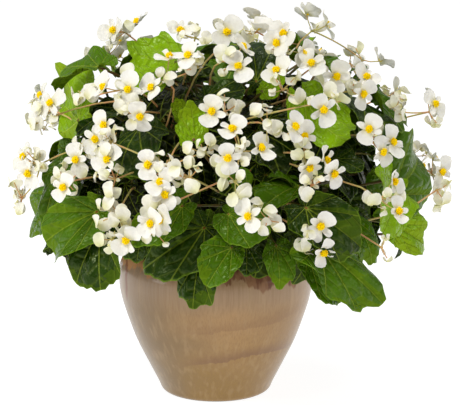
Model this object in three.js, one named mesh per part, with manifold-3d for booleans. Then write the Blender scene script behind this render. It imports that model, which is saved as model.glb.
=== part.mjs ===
// A white-flowered begonia growing in a glazed stoneware pot.
// Millimetres, +Z up. The origin is the middle of the pot's flat base, and the front is -Y.
import * as THREE from "three";
import { mergeVertices } from "three/addons/utils/BufferGeometryUtils.js";
import Module from "manifold-3d";

const wasm = await Module();
wasm.setup();

// ---------- Driving dimensions ----------
const GAP = 0.35; // air between two pieces that touch on the real plant
const SPARE = 0.9; // how far a new piece is kept from what has grown already

const POT = {
  floor: 11,
  sides: 24,
  outer: [[64, 0], [72, 13], [84, 37], [99, 68], [112.5, 106], [119.5, 143], [117, 163], [108, 177]],
  lip: 102,
  height: 178,
  inner: [[99, 170], [111, 146], [105, 106], [77, 37], [62, 11]],
};
const SOIL = { top: 158 };

const DOME = { centre: new THREE.Vector3(12, 0, 205), radius: 238 }; // the ball that the leaves lie on
const VIEW = { across: 17.5, up: 230.6, distance: 2600, tilt: THREE.MathUtils.degToRad(12) };

const CANE = {
  radius: 4.5,
  sides: 5,
  steps: 4,
  bottom: 132,
  lean: 0.12, // how far out of the foot the bend is, as a share of the reach
  buds: [0.45, 0.58, 0.71, 0.84], // where stalks and petioles may leave, as shares of the length
  budPlay: 0.12,
  lastBud: 0.98,
};
const CANE_RINGS = [ // from the low outer stems to the upright middle ones
  { count: 5, bearing: 20, foot: 40, reach: 138, height: 262, rise: 0.95 },
  { count: 3, bearing: 75, foot: 22, reach: 92, height: 335, rise: 0.9 },
  { count: 2, bearing: 10, foot: 8, reach: 34, height: 382, rise: 0.8 },
];

const LEAF = {
  thick: 0.9,
  petiole: 1.3,
  socket: 2.4, // how far the corners of the petiole's seat lie from the joint
  midrib: 0.45, // where the midrib's bend is, as a share of the length
  ring: [-180, -135, -98, -62, -28, 0, 28, 62, 98, 135], // degrees round the edge, from the tip
  outline: {
    round: 0.41,
    nose: 0.15,
    point: 0.44,
    sharpness: 9,
    notch: 0.8,
    notchWidth: 0.38,
    fuller: 0.16,
  },
  crease: 0.02, // how softly the blade folds along its midrib
  arch: [0.03, 0.11], // this and the next four are drawn for each leaf
  fold: [-0.05, 0.3],
  sag: [0, 0.28],
  wave: [0.025, 0.07],
  waves: 5,
  jointIn: 16, // how far the joint lies under the dome, and the tip over it
  tipOut: 4,
  step: 4, // how far each try moves a front leaf
  sway: 5, // degrees
  budUnder: 20, // how far behind the joint its bud point is looked for
  tries: 36,
};

// Open and closed flowers: how large, how long their pedicels and how far they look away from the head.
const FLOWER = {
  reach: 19,
  sizes: [0.88, 1.06],
  knob: 3.4,
  back: 2.2,
  neck: 1.2,
  root: 0.5,
  pedicel: [18, 27],
  wander: 0.3,
  tries: 12,
};
const BUD = { radius: 10.2, sizes: [0.78, 1.08], half: 2.9, sides: 5, pedicel: [13, 22], wander: 0.5 };
const HEAD = {
  out: 30, // how far it stands out of the dome of leaves
  turn: 2.4,
  lone: [0, 0.4], // how far a pedicel leans out, where it is alone and where it isn't
  lean: [0.75, 1.25],
  follow: 0.45, // how much a flower faces the way that its pedicel goes
  twist: 0.9,
  cup: [-0.6, 1],
};
const STALK = {
  bow: 2.1, // how far off straight up a stalk may bow, in radians
  radius: 1.4,
  thinner: 0.5, // how much thinner a side stalk is
  knuckle: 5.2,
  pedicelIn: 0.6,
  sides: 3,
  steps: 2,
  budUnder: 80,
  elbow: [0.4, 0.8],
  rise: 0.08,
  detour: 0.3,
  play: 4, // how far a head may be moved in or out
  nearer: 16, // and towards the front at each later stage
  tries: 240,
  stage: 60,
};

// The leaves that show from the front: joint across and up, tip across and up, how far the leaf stands
// out of the dome, its roll in degrees, and -1 where it shows its underside.
const FRONT_LEAVES = [
  [-148, 219, -212, 181, 0, 0, 1], [-188, 239, -231, 205, -12, 0, 1], [-144, 201, -146, 119, 4, 0, 1],
  [-42, 226, -100, 180, 4, -10, 1], [-88, 194, -99, 154, -26, 0, 1], [-14, 199, -88, 151, -12, 0, 1],
  [-21, 161, -30, 96, 4, 0, 1], [20, 174, -10, 129, 12, 15, 1], [38, 176, 38, 139, -8, -10, 1],
  [75, 176, 80, 126, 8, 0, 1], [115, 165, 154, 104, -6, 0, 1], [128, 176, 204, 105, 8, 0, 1],
  [112, 224, 181, 176, 16, 0, 1], [170, 211, 200, 156, -18, 0, 1], [215, 239, 256, 288, -8, 0, 1],
  [220, 259, 211, 194, 0, 0, 1], [220, 204, 264, 176, -4, 40, 1], [15, 216, 65, 189, 12, 0, 1],
  [105, 251, 58, 226, 2, 10, 1], [86, 234, 58, 261, -10, -20, 1], [38, 240, 20, 278, -6, 20, 1],
  [-95, 324, -88, 271, -6, 0, 1], [-130, 341, -170, 311, -12, 0, 1], [-172, 333, -191, 399, 8, 0, -1],
  [-142, 381, -156, 412, 0, 20, -1], [-120, 394, -141, 424, 8, 10, -1], [-119, 394, -104, 421, 12, -20, -1],
  [-82, 381, -82, 426, -4, 0, 1], [-50, 406, -95, 438, 10, 20, -1], [-39, 414, -60, 431, -2, 0, 1],
  [-45, 335, -50, 361, -4, 0, -1], [-28, 309, -31, 355, 14, 0, -1], [-14, 361, 39, 369, -8, 0, 1],
  [50, 381, 41, 436, 6, 10, 1], [100, 421, 125, 438, 4, 0, -1], [58, 369, 81, 394, 6, 0, -1],
  [42, 384, 8, 401, -4, 10, 1], [110, 361, 160, 306, 14, 10, -1], [170, 361, 188, 319, -4, 0, 1],
  [180, 359, 205, 374, -4, 0, 1], [205, 351, 242, 302, -2, 0, 1], [168, 394, 188, 401, 0, 0, 1],
  [132, 406, 131, 424, 0, 0, -1], [149, 284, 182, 269, 0, 0, 1], [-168, 296, -198, 299, -12, 0, 1],
  [-101, 274, -135, 294, -10, 0, 1], [102, 354, 58, 349, -24, 0, 1], [30, 401, 11, 379, -20, 0, 1],
];

// The flower sprays that show from the front. Each is one stalk with one or two heads:
// head across and up, open flowers, closed flowers.
const FRONT_SPRAYS = [
  [[275, 246, 1, 2]],
  [[133, 355, 1, 1]],
  [[-114, 444, 2, 1]],
  [[-26, 436, 1, 1], [8, 444, 1, 1]],
  [[20, 406, 2, 1]],
  [[51, 450, 2, 0], [83, 424, 3, 0]],
  [[124, 399, 3, 0]],
  [[164, 390, 1, 1]],
  [[83, 371, 1, 1]],
  [[171, 369, 1, 1]],
  [[268, 344, 2, 1], [220, 349, 0, 2]],
  [[195, 306, 3, 1]],
  [[205, 234, 2, 1]],
  [[-63, 384, 2, 0], [-23, 399, 1, 0]],
  [[-114, 371, 2, 1], [-158, 361, 0, 2]],
  [[-105, 340, 1, 1]],
  [[-130, 305, 1, 1]],
  [[-158, 294, 2, 1]],
  [[-208, 336, 2, 1]],
  [[-220, 278, 2, 1], [-243, 236, 0, 2]],
  [[-185, 256, 1, 1]],
  [[-126, 259, 1, 1]],
  [[-122, 218, 0, 3]],
  [[-130, 184, 1, 1]],
  [[-64, 268, 2, 1], [-33, 261, 0, 2]],
  [[-68, 224, 2, 1], [-76, 196, 1, 0]],
  [[-14, 293, 0, 3]],
  [[11, 344, 1, 1]],
  [[30, 294, 3, 0], [24, 256, 0, 2]],
  [[64, 327, 0, 2], [89, 315, 1, 0]],
  [[111, 286, 3, 1]],
  [[120, 252, 1, 1]],
  [[64, 209, 1, 1]],
  [[120, 186, 2, 1]],
  [[207, 174, 0, 2]],
];

// The same plant goes on round the back, by a rule.
const BACK_SPRAYS = { count: 13, heads: [[2, 1], [1, 1]], spread: 32, top: 0.9, low: -0.1, arc: 2.9 };
const FILL_LEAVES = {
  count: 120,
  top: 0.97,
  low: -0.32,
  frontLow: 0.1,
  front: 0.1,
  apart: 46,
  lengths: [62, 86],
  course: 1.1, // how far off straight downhill a leaf may point
  step: 6,
  sunk: 10,
  jointIn: 12,
  tipOut: [-10, 8],
  skyward: [0, 0.6],
  roll: 0.35,
};

// ---------- Directions, places and chance ----------
const RIGHT = new THREE.Vector3(1, 0, 0);
const SKY = new THREE.Vector3(0, 0, 1);
const TOWARD = new THREE.Vector3(0, -Math.cos(VIEW.tilt), Math.sin(VIEW.tilt));
const UPWARD = new THREE.Vector3(0, Math.sin(VIEW.tilt), Math.cos(VIEW.tilt));
const FULL_TURN = 2 * Math.PI;
const GOLDEN_TURN = Math.PI * (3 - Math.sqrt(5));
const radians = THREE.MathUtils.degToRad;

// Throws that come out the same for the same seed.
function dice(seed) {
  let state = (seed * 7919 + 12345) % 4294967296;
  const next = () => {
    state = (state * 1664525 + 1013904223) % 4294967296;
    return state / 4294967296;
  };
  next();
  return (low = 0, high = 1) => low + next() * (high - low);
}

// `point` moved by `amount` along `direction`, as a new point.
const shifted = (point, direction, amount) => point.clone().addScaledVector(direction, amount);

// `vector` less its part along `axis`, as a unit vector.
const squared = (vector, axis) => shifted(vector, axis, -vector.dot(axis)).normalize();

const outwardAt = (point) => point.clone().sub(DOME.centre).normalize();

// Bearing 0 is the front and grows towards +X; `height` is the sine of the angle above the level.
function heading(bearing, height) {
  const level = Math.sqrt(1 - height * height);
  return new THREE.Vector3(Math.sin(bearing) * level, -Math.cos(bearing) * level, height);
}

// The point of the dome, swollen by `out`, that shows at `across` and `up` from the front.
function seen(across, up, out) {
  const middle = DOME.centre.dot(UPWARD);
  const radius = DOME.radius + out;
  let near = 1;
  let depth = 0;
  for (let pass = 0; pass < 4; pass += 1) {
    const u = VIEW.across + (across - VIEW.across) * near;
    const v = VIEW.up + (up - VIEW.up) * near;
    const off = Math.hypot(u - DOME.centre.x, v - middle);
    depth = DOME.centre.dot(TOWARD) + Math.sqrt(Math.max(0, radius * radius - off * off));
    near = (VIEW.distance - depth) / VIEW.distance;
  }
  return new THREE.Vector3()
    .addScaledVector(RIGHT, VIEW.across + (across - VIEW.across) * near)
    .addScaledVector(UPWARD, VIEW.up + (up - VIEW.up) * near)
    .addScaledVector(TOWARD, depth);
}

// ---------- Solids and meshes ----------
function solidOf(points, faces) {
  const vertProperties = new Float32Array(points.flatMap((p) => [p.x, p.y, p.z]));
  const triVerts = new Uint32Array(faces.flat());
  return new wasm.Manifold(new wasm.Mesh({ numProp: 3, vertProperties, triVerts }));
}

function solidFrom(geometry) {
  geometry.deleteAttribute("normal");
  geometry.deleteAttribute("uv");
  const merged = mergeVertices(geometry, 1e-4);
  const vertProperties = merged.attributes.position.array;
  return new wasm.Manifold(new wasm.Mesh({ numProp: 3, vertProperties, triVerts: merged.index.array }));
}

function meshOf(solid, name, material) {
  const made = solid.simplify(0.02).getMesh();
  const geometry = new THREE.BufferGeometry();
  geometry.setAttribute("position", new THREE.BufferAttribute(made.vertProperties, made.numProp));
  geometry.setIndex(new THREE.BufferAttribute(made.triVerts, 1));
  geometry.computeVertexNormals();
  const mesh = new THREE.Mesh(geometry, material);
  mesh.name = name;
  return mesh;
}

// LatheGeometry turns about Y, and the pot stands along Z.
function turned(profile) {
  const points = profile.map(([radius, height]) => new THREE.Vector2(radius, height));
  return solidFrom(new THREE.LatheGeometry(points, POT.sides).rotateX(Math.PI / 2));
}

function tube(extrudePath, radius, sides, steps) {
  const corners = Array.from({ length: sides }, (_, k) => {
    const turn = (FULL_TURN * k) / sides;
    return new THREE.Vector2(radius * Math.cos(turn), radius * Math.sin(turn));
  });
  const settings = { steps, bevelEnabled: false, extrudePath };
  return solidFrom(new THREE.ExtrudeGeometry(new THREE.Shape(corners), settings));
}

const bend = (start, middle, end) => new THREE.QuadraticBezierCurve3(start, middle, end);

// The point `share` of the way along a tube's middle line, which has straight steps.
function onTube(curve, steps, share) {
  const step = Math.min(steps - 1, Math.floor(share * steps));
  const next = curve.getPointAt((step + 1) / steps);
  return curve.getPointAt(step / steps).lerp(next, share * steps - step);
}

// Triangles from a ring of points to the few points within it, `leansOn(k)` for the stretch after point k.
function fan(ring, leansOn) {
  return ring.flatMap((corner, k) => {
    const before = leansOn((k + ring.length - 1) % ring.length);
    const after = leansOn(k);
    const stretch = [after, corner, ring[(k + 1) % ring.length]];
    return before === after ? [stretch] : [stretch, [before, corner, after]];
  });
}

const flipped = (faces) => faces.map(([a, b, c]) => [a, c, b]);

// A three-sided stalk through rows of three points, shut at its last row.
function sleeve(rows) {
  const walls = rows.slice(1).flatMap((row, k) =>
    [0, 1, 2].flatMap((a) => {
      const b = (a + 1) % 3;
      return [[rows[k][b], rows[k][a], row[a]], [rows[k][b], row[a], row[b]]];
    }));
  const [a, b, c] = rows.at(-1);
  return [...walls, [c, b, a]];
}

// The three points of a stalk's row, round `centre` and square to `along`, the first towards `first`.
function rowOf(centre, along, first, radius) {
  const ahead = squared(first, along);
  const aside = along.clone().cross(ahead);
  return [0, 1, 2].map((k) => {
    const turn = (FULL_TURN * k) / 3;
    return shifted(shifted(centre, ahead, radius * Math.cos(turn)), aside, radius * Math.sin(turn));
  });
}

// ---------- What has grown so far ----------
const grown = [];

function boxOf(solid) {
  const { min, max } = solid.boundingBox();
  return new THREE.Box3(new THREE.Vector3(...min), new THREE.Vector3(...max));
}

function keep(solid, owner) {
  grown.push({ solid, box: boxOf(solid), owner });
}

// True where `probe`, a new piece drawn thicker than it is, meets nothing but what its owners grew.
function isClear(probe, ...owners) {
  const box = boxOf(probe);
  return grown.every(({ solid, box: otherBox, owner }) =>
    owners.includes(owner) || !otherBox.intersectsBox(box) || probe.intersect(solid).isEmpty());
}

// ---------- Pot, canes and soil ----------
const makePot = () => turned([[0, 0], ...POT.outer, [POT.lip, POT.height], ...POT.inner, [0, POT.floor]]);

// The soil follows the pot's inner wall, a gap away from it, and the canes stand in its holes.
function makeSoil(canes) {
  const { lerp, inverseLerp } = THREE.MathUtils;
  const [rim, belly] = POT.inner;
  const edge = lerp(belly[0], rim[0], inverseLerp(belly[1], rim[1], SOIL.top)) - GAP;
  const wall = POT.inner.slice(1).map(([radius, height]) => [radius - GAP, height]).reverse();
  wall[0][1] += GAP;
  const profile = [[0, wall[0][1]], ...wall, [edge, SOIL.top], [0, SOIL.top]];
  return canes.reduce((soil, cane) => soil.subtract(cane.hole), turned(profile));
}

function makeCane(bearing, ring) {
  const level = heading(bearing, 0);
  const foot = level.clone().multiplyScalar(ring.foot).setZ(CANE.bottom);
  const end = level.clone().multiplyScalar(ring.reach).setZ(ring.height);
  const corner = foot.clone().lerp(end, CANE.lean);
  corner.setZ(THREE.MathUtils.lerp(CANE.bottom, ring.height, ring.rise));
  const curve = bend(foot, corner, end);
  const solid = tube(curve, CANE.radius, CANE.sides, CANE.steps);
  const below = bend(shifted(foot, SKY, -GAP), shifted(corner, SKY, -GAP), end);
  const hole = tube(below, CANE.radius + GAP, CANE.sides, CANE.steps);
  return { curve, solid, hole, leaves: [] };
}

const makeCanes = () =>
  CANE_RINGS.flatMap((ring) =>
    Array.from({ length: ring.count }, (_, k) =>
      makeCane(radians(ring.bearing) + (FULL_TURN * k) / ring.count, ring)));

// A bud point on one of the canes near `target`: `choice` 0 is the cheapest to reach.
function budPoint(canes, target, choice, throwDice) {
  const along = throwDice(-CANE.budPlay, CANE.budPlay);
  const options = canes.map((cane) => {
    const places = CANE.buds.map((share) => {
      const point = onTube(cane.curve, CANE.steps, Math.min(CANE.lastBud, share + along));
      return { cane, point, cost: point.distanceTo(target) + Math.max(0, point.z - target.z) };
    });
    return places.reduce((a, b) => (a.cost < b.cost ? a : b));
  });
  return options.sort((a, b) => a.cost - b.cost)[choice];
}

// ---------- Leaves ----------
// From joint to edge, as a share of the length, at `turn` from the tip: broad and pointed, heart-shaped
// at the joint and fuller on one side.
function edgeOfLeaf(turn, skew) {
  const { round, nose, point, sharpness, notch, notchWidth, fuller } = LEAF.outline;
  const body = round + nose * Math.cos(turn) + point * Math.cos(turn / 2) ** sharpness;
  const behind = (Math.PI - Math.abs(turn)) / notchWidth;
  const heart = 1 - notch * Math.exp(-behind * behind);
  return body * heart * (1 + fuller * skew * Math.sin(turn));
}

// A point of the blade, `share` of the way from the joint to the edge at `turn`.
function onBlade(leaf, turn, share) {
  const reach = share * edgeOfLeaf(turn, leaf.skew);
  const along = reach * Math.cos(turn);
  const aside = reach * Math.sin(turn);
  const arch = leaf.arch * 4 * along * (1 - along);
  const fold = leaf.fold * (Math.sqrt(aside * aside + LEAF.crease) - Math.sqrt(LEAF.crease));
  const sag = leaf.sag * aside * aside;
  const wave = leaf.wave * share ** 3 * Math.sin(LEAF.waves * turn + leaf.phase);
  return leaf.joint
    .clone()
    .addScaledVector(leaf.axis, along * leaf.length)
    .addScaledVector(leaf.side, aside * leaf.length)
    .addScaledVector(leaf.normal, (arch + fold - sag + wave) * leaf.length);
}

// Both faces are split into the same triangles, and a wall along the edge joins them. The petiole
// leaves the lower face at a three-cornered seat round the joint.
function leafSolid(leaf, thick, petiole) {
  const turns = LEAF.ring.map(radians);
  const seat = rowOf(leaf.joint, leaf.normal, leaf.axis, LEAF.socket);
  const sheet = [...seat, onBlade(leaf, 0, LEAF.midrib), ...turns.map((turn) => onBlade(leaf, turn, 1))];
  const ring = turns.map((_, k) => k + 4);
  const leansOn = (k) => {
    const middle = LEAF.ring[k] + 0.5;
    if (Math.abs(middle) < 62) return 3;
    if (Math.abs(middle) < 98) return 0;
    return middle > 0 ? 1 : 2;
  };
  const face = [[0, 1, 2], ...fan(ring, leansOn)];
  const lift = (faces) => faces.map((corners) => corners.map((k) => k + sheet.length));
  const points = [-thick / 2, thick / 2].flatMap((rise) =>
    sheet.map((point) => shifted(point, leaf.normal, rise)));
  const edge = ring.flatMap((a, k) => {
    const b = ring[(k + 1) % ring.length];
    return [[a, b, b + sheet.length], [a, b + sheet.length, a + sheet.length]];
  });
  const rows = [[0, 1, 2]];
  if (petiole.length > 0) rows.push([0, 1, 2].map((k) => points.length + k));
  points.push(...petiole);
  return solidOf(points, [...lift(face), ...flipped(fan(ring, leansOn)), ...edge, ...sleeve(rows)]);
}

// The petiole's row inside its cane.
function petioleRoot(leaf, start, spare) {
  const along = leaf.joint.clone().sub(start).normalize();
  return rowOf(start, along, leaf.axis, LEAF.petiole + spare);
}

function petioleSolid(leaf, start, spare) {
  const seat = rowOf(leaf.joint, leaf.normal, leaf.axis, LEAF.socket + spare);
  const points = [...seat, ...petioleRoot(leaf, start, spare)];
  return solidOf(points, [[0, 1, 2], ...sleeve([[0, 1, 2], [3, 4, 5]])]);
}

// Every leaf is a little different.
function shapeLeaf(joint, tip, normal, roll, throwDice) {
  const axis = tip.clone().sub(joint);
  const length = axis.length();
  axis.normalize();
  const facing = squared(normal, axis).applyAxisAngle(axis, roll);
  return {
    joint,
    length,
    axis,
    normal: facing,
    side: facing.clone().cross(axis),
    skew: throwDice() < 0.5 ? -1 : 1,
    arch: throwDice(...LEAF.arch),
    fold: throwDice(...LEAF.fold),
    sag: throwDice(...LEAF.sag),
    wave: throwDice(...LEAF.wave),
    phase: throwDice(0, FULL_TURN),
  };
}

// Leaves are pushed in or out by a step more at each try, until one is clear of what is there.
function growLeaf(build, seed, canes) {
  for (let attempt = 0; attempt < LEAF.tries; attempt += 1) {
    const throwDice = dice(seed + 1000 * attempt);
    const step = (attempt % 2 ? 1 : -1) * Math.ceil(attempt / 4);
    const leaf = build(step, throwDice);
    if (!isClear(leafSolid(leaf, LEAF.thick + 2 * SPARE, []))) continue;
    const behind = shifted(leaf.joint, leaf.normal, -LEAF.budUnder);
    const from = budPoint(canes, behind, attempt % 4, throwDice);
    if (!isClear(petioleSolid(leaf, from.point, SPARE), from.cane, from.cane.leaves)) continue;
    keep(leafSolid(leaf, LEAF.thick, []), leaf);
    keep(petioleSolid(leaf, from.point, 0), from.cane.leaves);
    from.cane.leaves.push(leafSolid(leaf, LEAF.thick, petioleRoot(leaf, from.point, 0)));
    return [leaf];
  }
  return [];
}

function growFrontLeaf([jointAcross, jointUp, tipAcross, tipUp, stand, roll, face], index, canes) {
  const build = (step, throwDice) => {
    const joint = seen(jointAcross, jointUp, stand - LEAF.jointIn + LEAF.step * step);
    const tip = seen(tipAcross, tipUp, stand + LEAF.tipOut + LEAF.step * step);
    const normal = outwardAt(joint.clone().lerp(tip, 0.5)).multiplyScalar(face);
    const sway = throwDice(-LEAF.sway, LEAF.sway) * (1 + Math.abs(step));
    return shapeLeaf(joint, tip, normal, radians(roll + sway), throwDice);
  };
  return growLeaf(build, index + 1, canes);
}

// Leaves all round, spread evenly over the dome, where none sits yet.
function growFillLeaves(canes, frontLeaves) {
  const rule = FILL_LEAVES;
  const middleOf = (leaf) => shifted(leaf.joint, leaf.axis, leaf.length / 2);
  const taken = frontLeaves.map(middleOf);
  for (let k = 0; k < rule.count; k += 1) {
    const height = THREE.MathUtils.lerp(rule.top, rule.low, (k + 0.5) / rule.count);
    const outward = heading(GOLDEN_TURN * k, height);
    const spot = shifted(DOME.centre, outward, DOME.radius);
    if (outward.dot(TOWARD) > rule.front && outward.z < rule.frontLow) continue;
    if (taken.some((other) => other.distanceTo(spot) < rule.apart)) continue;
    const downhill = squared(SKY.clone().negate(), outward);
    const build = (step, throwDice) => {
      const course = downhill.clone().applyAxisAngle(outward, throwDice(-rule.course, rule.course));
      const length = throwDice(...rule.lengths);
      const middle = shifted(spot, outward, rule.step * step - rule.sunk);
      const joint = shifted(shifted(middle, course, -length / 2), outward, -rule.jointIn);
      const tip = shifted(shifted(middle, course, length / 2), outward, throwDice(...rule.tipOut));
      const normal = shifted(outward, SKY, throwDice(...rule.skyward)).normalize();
      return shapeLeaf(joint, tip, normal, throwDice(-rule.roll, rule.roll), throwDice);
    };
    taken.push(...growLeaf(build, 500 + k, canes).map(middleOf));
  }
}

// ---------- Flowers ----------
// Each corner of an open flower's edge: degrees round it, reach, and rise towards the front.
const PETALS = [
  [-25, 1, 0.1], [25, 1, 0.2], [58, 0.3, 0], [90, 0.8, 0.05], [122, 0.3, 0], [155, 1, 0.1],
  [205, 1, 0.2], [238, 0.3, 0], [270, 0.8, 0.05], [302, 0.3, 0],
];

function flowerPoint(flower, turn, reach, rise) {
  return flower.centre
    .clone()
    .addScaledVector(flower.petal, Math.cos(turn) * reach)
    .addScaledVector(flower.side, Math.sin(turn) * reach)
    .addScaledVector(flower.facing, rise);
}

// A ring of corners closed by a point in front, with the pedicel leaving the three-cornered back.
function bloom(flower, corners, front, back, pedicel) {
  const rear = shifted(flower.centre, flower.facing, back);
  const neck = rowOf(rear, flower.facing, flower.petal, FLOWER.neck);
  const points = [flowerPoint(flower, 0, 0, front), ...neck, ...corners, ...pedicel];
  const ring = corners.map((_, k) => k + 4);
  const rows = [[1, 2, 3]];
  if (pedicel.length > 0) rows.push([0, 1, 2].map((k) => corners.length + 4 + k));
  const third = (k) => 1 + Math.round((3 * (k + 0.5)) / corners.length) % 3;
  return solidOf(points, [...fan(ring, () => 0), ...flipped(fan(ring, third)), ...sleeve(rows)]);
}

// Two broad petals, two narrow ones, and the stamens' knob in front of them.
function openSolid(flower, spare, pedicel) {
  const corners = PETALS.map(([turn, reach, rise]) =>
    flowerPoint(flower, radians(turn), reach * flower.size + spare, rise * flower.cup * flower.size));
  return bloom(flower, corners, FLOWER.knob + spare, -FLOWER.back - spare, pedicel);
}

// Two round petals still pressed together.
function closedSolid(flower, spare, pedicel) {
  const corners = Array.from({ length: BUD.sides }, (_, k) =>
    flowerPoint(flower, (FULL_TURN * k) / BUD.sides, flower.size + spare, 0));
  return bloom(flower, corners, BUD.half + spare, -BUD.half - spare, pedicel);
}

const flowerSolid = (flower, spare, pedicel) =>
  (flower.open ? openSolid : closedSolid)(flower, spare, pedicel);

// Flower k of a head. The open ones come first.
function shapeFlower(head, k, throwDice) {
  const total = head.open + head.closed;
  const open = k < head.open;
  const kind = open ? FLOWER : BUD;
  const turn = head.turn + (FULL_TURN * k) / total + throwDice(-0.3, 0.3);
  const lean = throwDice(...(total === 1 ? HEAD.lone : HEAD.lean));
  const spread = squared(SKY, head.outward).applyAxisAngle(head.outward, turn);
  const aim = head.outward.clone().multiplyScalar(Math.cos(lean)).addScaledVector(spread, Math.sin(lean));
  const length = throwDice(...kind.pedicel);
  const wander = new THREE.Vector3(throwDice(-1, 1), throwDice(-1, 1), throwDice(-1, 1));
  const facing = shifted(shifted(head.outward, aim, HEAD.follow), wander, kind.wander).normalize();
  const petal = squared(SKY, facing).applyAxisAngle(facing, throwDice(-HEAD.twist, HEAD.twist));
  return {
    open,
    centre: shifted(head.point, aim, length),
    facing,
    petal,
    side: facing.clone().cross(petal),
    size: (open ? FLOWER.reach : BUD.radius) * throwDice(...kind.sizes),
    cup: throwDice(...HEAD.cup),
  };
}

function pedicelRow(flower, head, spare) {
  const along = flower.centre.clone().sub(head.point).normalize();
  return rowOf(shifted(head.point, along, STALK.pedicelIn), along, flower.petal, FLOWER.root + spare);
}

// The knuckle at the end of a stalk, which its pedicels spring from.
function knuckle(head, spare) {
  const { x, y, z } = head.point;
  return solidFrom(new THREE.TetrahedronGeometry(STALK.knuckle + spare).translate(x, y, z));
}

// One flower, tried until it is clear of the plant and of its own head.
function growFlower(head, k, seed, mine) {
  for (let attempt = 0; attempt < FLOWER.tries; attempt += 1) {
    const flower = shapeFlower(head, k, dice(seed + 31 * k + 4000 * attempt));
    const probe = flowerSolid(flower, SPARE, []);
    if (mine.some((other) => !probe.intersect(other).isEmpty())) continue;
    if (!isClear(flowerSolid(flower, SPARE, pedicelRow(flower, head, SPARE)))) continue;
    mine.push(flowerSolid(flower, 0, []));
    return [flowerSolid(flower, 0, pedicelRow(flower, head, 0))];
  }
  return [];
}

// The stalk's routes, from a cane to the first head and from that stalk to the next heads.
function stalkRoutes(heads, canes, attempt, throwDice) {
  const first = heads[0];
  const behind = shifted(first.point, first.outward, -STALK.budUnder);
  const from = budPoint(canes, behind, attempt % 4, throwDice);
  const span = from.point.distanceTo(first.point);
  const bow = throwDice(-STALK.bow, STALK.bow);
  const sideways = squared(SKY, first.outward).applyAxisAngle(first.outward, bow);
  const detour = STALK.detour + 0.2 * Math.floor(attempt / STALK.stage);
  const via = from.point.clone().lerp(first.point, throwDice(...STALK.elbow));
  via.addScaledVector(sideways, span * throwDice(0, detour)).addScaledVector(SKY, span * STALK.rise);
  const main = bend(from.point, via, first.point);
  const others = heads.slice(1).map((head) => {
    const elbow = shifted(first.point.clone().lerp(head.point, 0.5), head.outward, throwDice(-16, 6));
    return bend(first.point, elbow, head.point);
  });
  return { cane: from.cane, routes: [main, ...others] };
}

function stalks([main, ...others], radius) {
  const sides = others.map((route) => tube(route, radius - STALK.thinner, STALK.sides, STALK.steps));
  return [tube(main, radius, STALK.sides, STALK.steps), ...sides];
}

const isRoomFor = (heads, routes, cane) =>
  stalks(routes, STALK.radius + SPARE).every((probe) => isClear(probe, cane)) &&
  heads.every((head) => isClear(knuckle(head, SPARE)));

function growFlowers(heads, seed, mine) {
  return heads.flatMap((head, h) =>
    Array.from({ length: head.open + head.closed }, (_, k) => k).flatMap((k) =>
      growFlower(head, k, seed + 7 * h, mine)));
}

// A spray is tried with wider detours as it goes on, and may leave out a flower that never fits.
function growSpray(headsAt, seed, canes) {
  for (let attempt = 0; attempt < STALK.tries; attempt += 1) {
    const throwDice = dice(seed + 1000 * attempt);
    const stage = Math.floor(attempt / STALK.stage);
    const out = throwDice(-STALK.play, STALK.play);
    const heads = headsAt(HEAD.out + out, throwDice(-STALK.nearer, STALK.nearer) * stage);
    const { cane, routes } = stalkRoutes(heads, canes, attempt, throwDice);
    if (!isRoomFor(heads, routes, cane)) continue;
    const bodies = stalks(routes, STALK.radius);
    const flowers = growFlowers(heads, seed + 1000 * attempt, [...bodies]);
    const wanted = heads.reduce((sum, head) => sum + head.open + head.closed, 0);
    if (flowers.length < wanted - stage) continue;
    const knuckles = heads.map((head) => knuckle(head, 0));
    const whole = wasm.Manifold.union([...bodies, ...knuckles, ...flowers]);
    const room = tube(cane.curve, CANE.radius + GAP, CANE.sides, CANE.steps);
    const [spray, ...scraps] = whole.subtract(room).decompose();
    if (scraps.length > 0) continue;
    keep(spray, spray);
    return [spray];
  }
  return [];
}

function growFrontSpray(places, index, canes) {
  const headsAt = (out, nearer) => places.map(([across, up, open, closed], h) => {
    const point = shifted(seen(across, up, out), TOWARD, nearer);
    return { point, outward: outwardAt(point), open, closed, turn: HEAD.turn * (index + h) };
  });
  return growSpray(headsAt, 7000 + index, canes);
}

function growBackSpray(index, canes) {
  const { count, top, low, arc } = BACK_SPRAYS;
  const height = THREE.MathUtils.lerp(top, low, (index + 0.5) / count);
  const bearing = Math.PI + (((index * GOLDEN_TURN) / FULL_TURN) % 1 - 0.5) * arc;
  const outward = heading(bearing, height);
  const headsAt = (out) => BACK_SPRAYS.heads.map(([open, closed], h) => {
    const spread = squared(SKY, outward).applyAxisAngle(outward, index + Math.PI * h);
    const place = shifted(shifted(DOME.centre, outward, DOME.radius), spread, BACK_SPRAYS.spread);
    const away = outwardAt(place);
    const point = shifted(DOME.centre, away, DOME.radius + out);
    return { point, outward: away, open, closed, turn: HEAD.turn * (index + h) };
  });
  return growSpray(headsAt, 8000 + index, canes);
}

// ---------- Assembly ----------
const paint = (color, roughness) => new THREE.MeshStandardMaterial({ color, roughness, metalness: 0 });
const numbered = (word, k) => `${word}_${String(k + 1).padStart(2, "0")}`;

const canes = makeCanes();
const pot = makePot();
const soil = makeSoil(canes);
keep(pot, "pot");
keep(soil, "soil");
canes.forEach((cane) => keep(cane.solid, cane));

const frontLeaves = FRONT_LEAVES.flatMap((place, k) => growFrontLeaf(place, k, canes));
const frontSprays = FRONT_SPRAYS.flatMap((places, k) => growFrontSpray(places, k, canes));
const backSprays = Array.from({ length: BACK_SPRAYS.count }, (_, k) => k)
  .flatMap((k) => growBackSpray(k, canes));
growFillLeaves(canes, frontLeaves);

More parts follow.
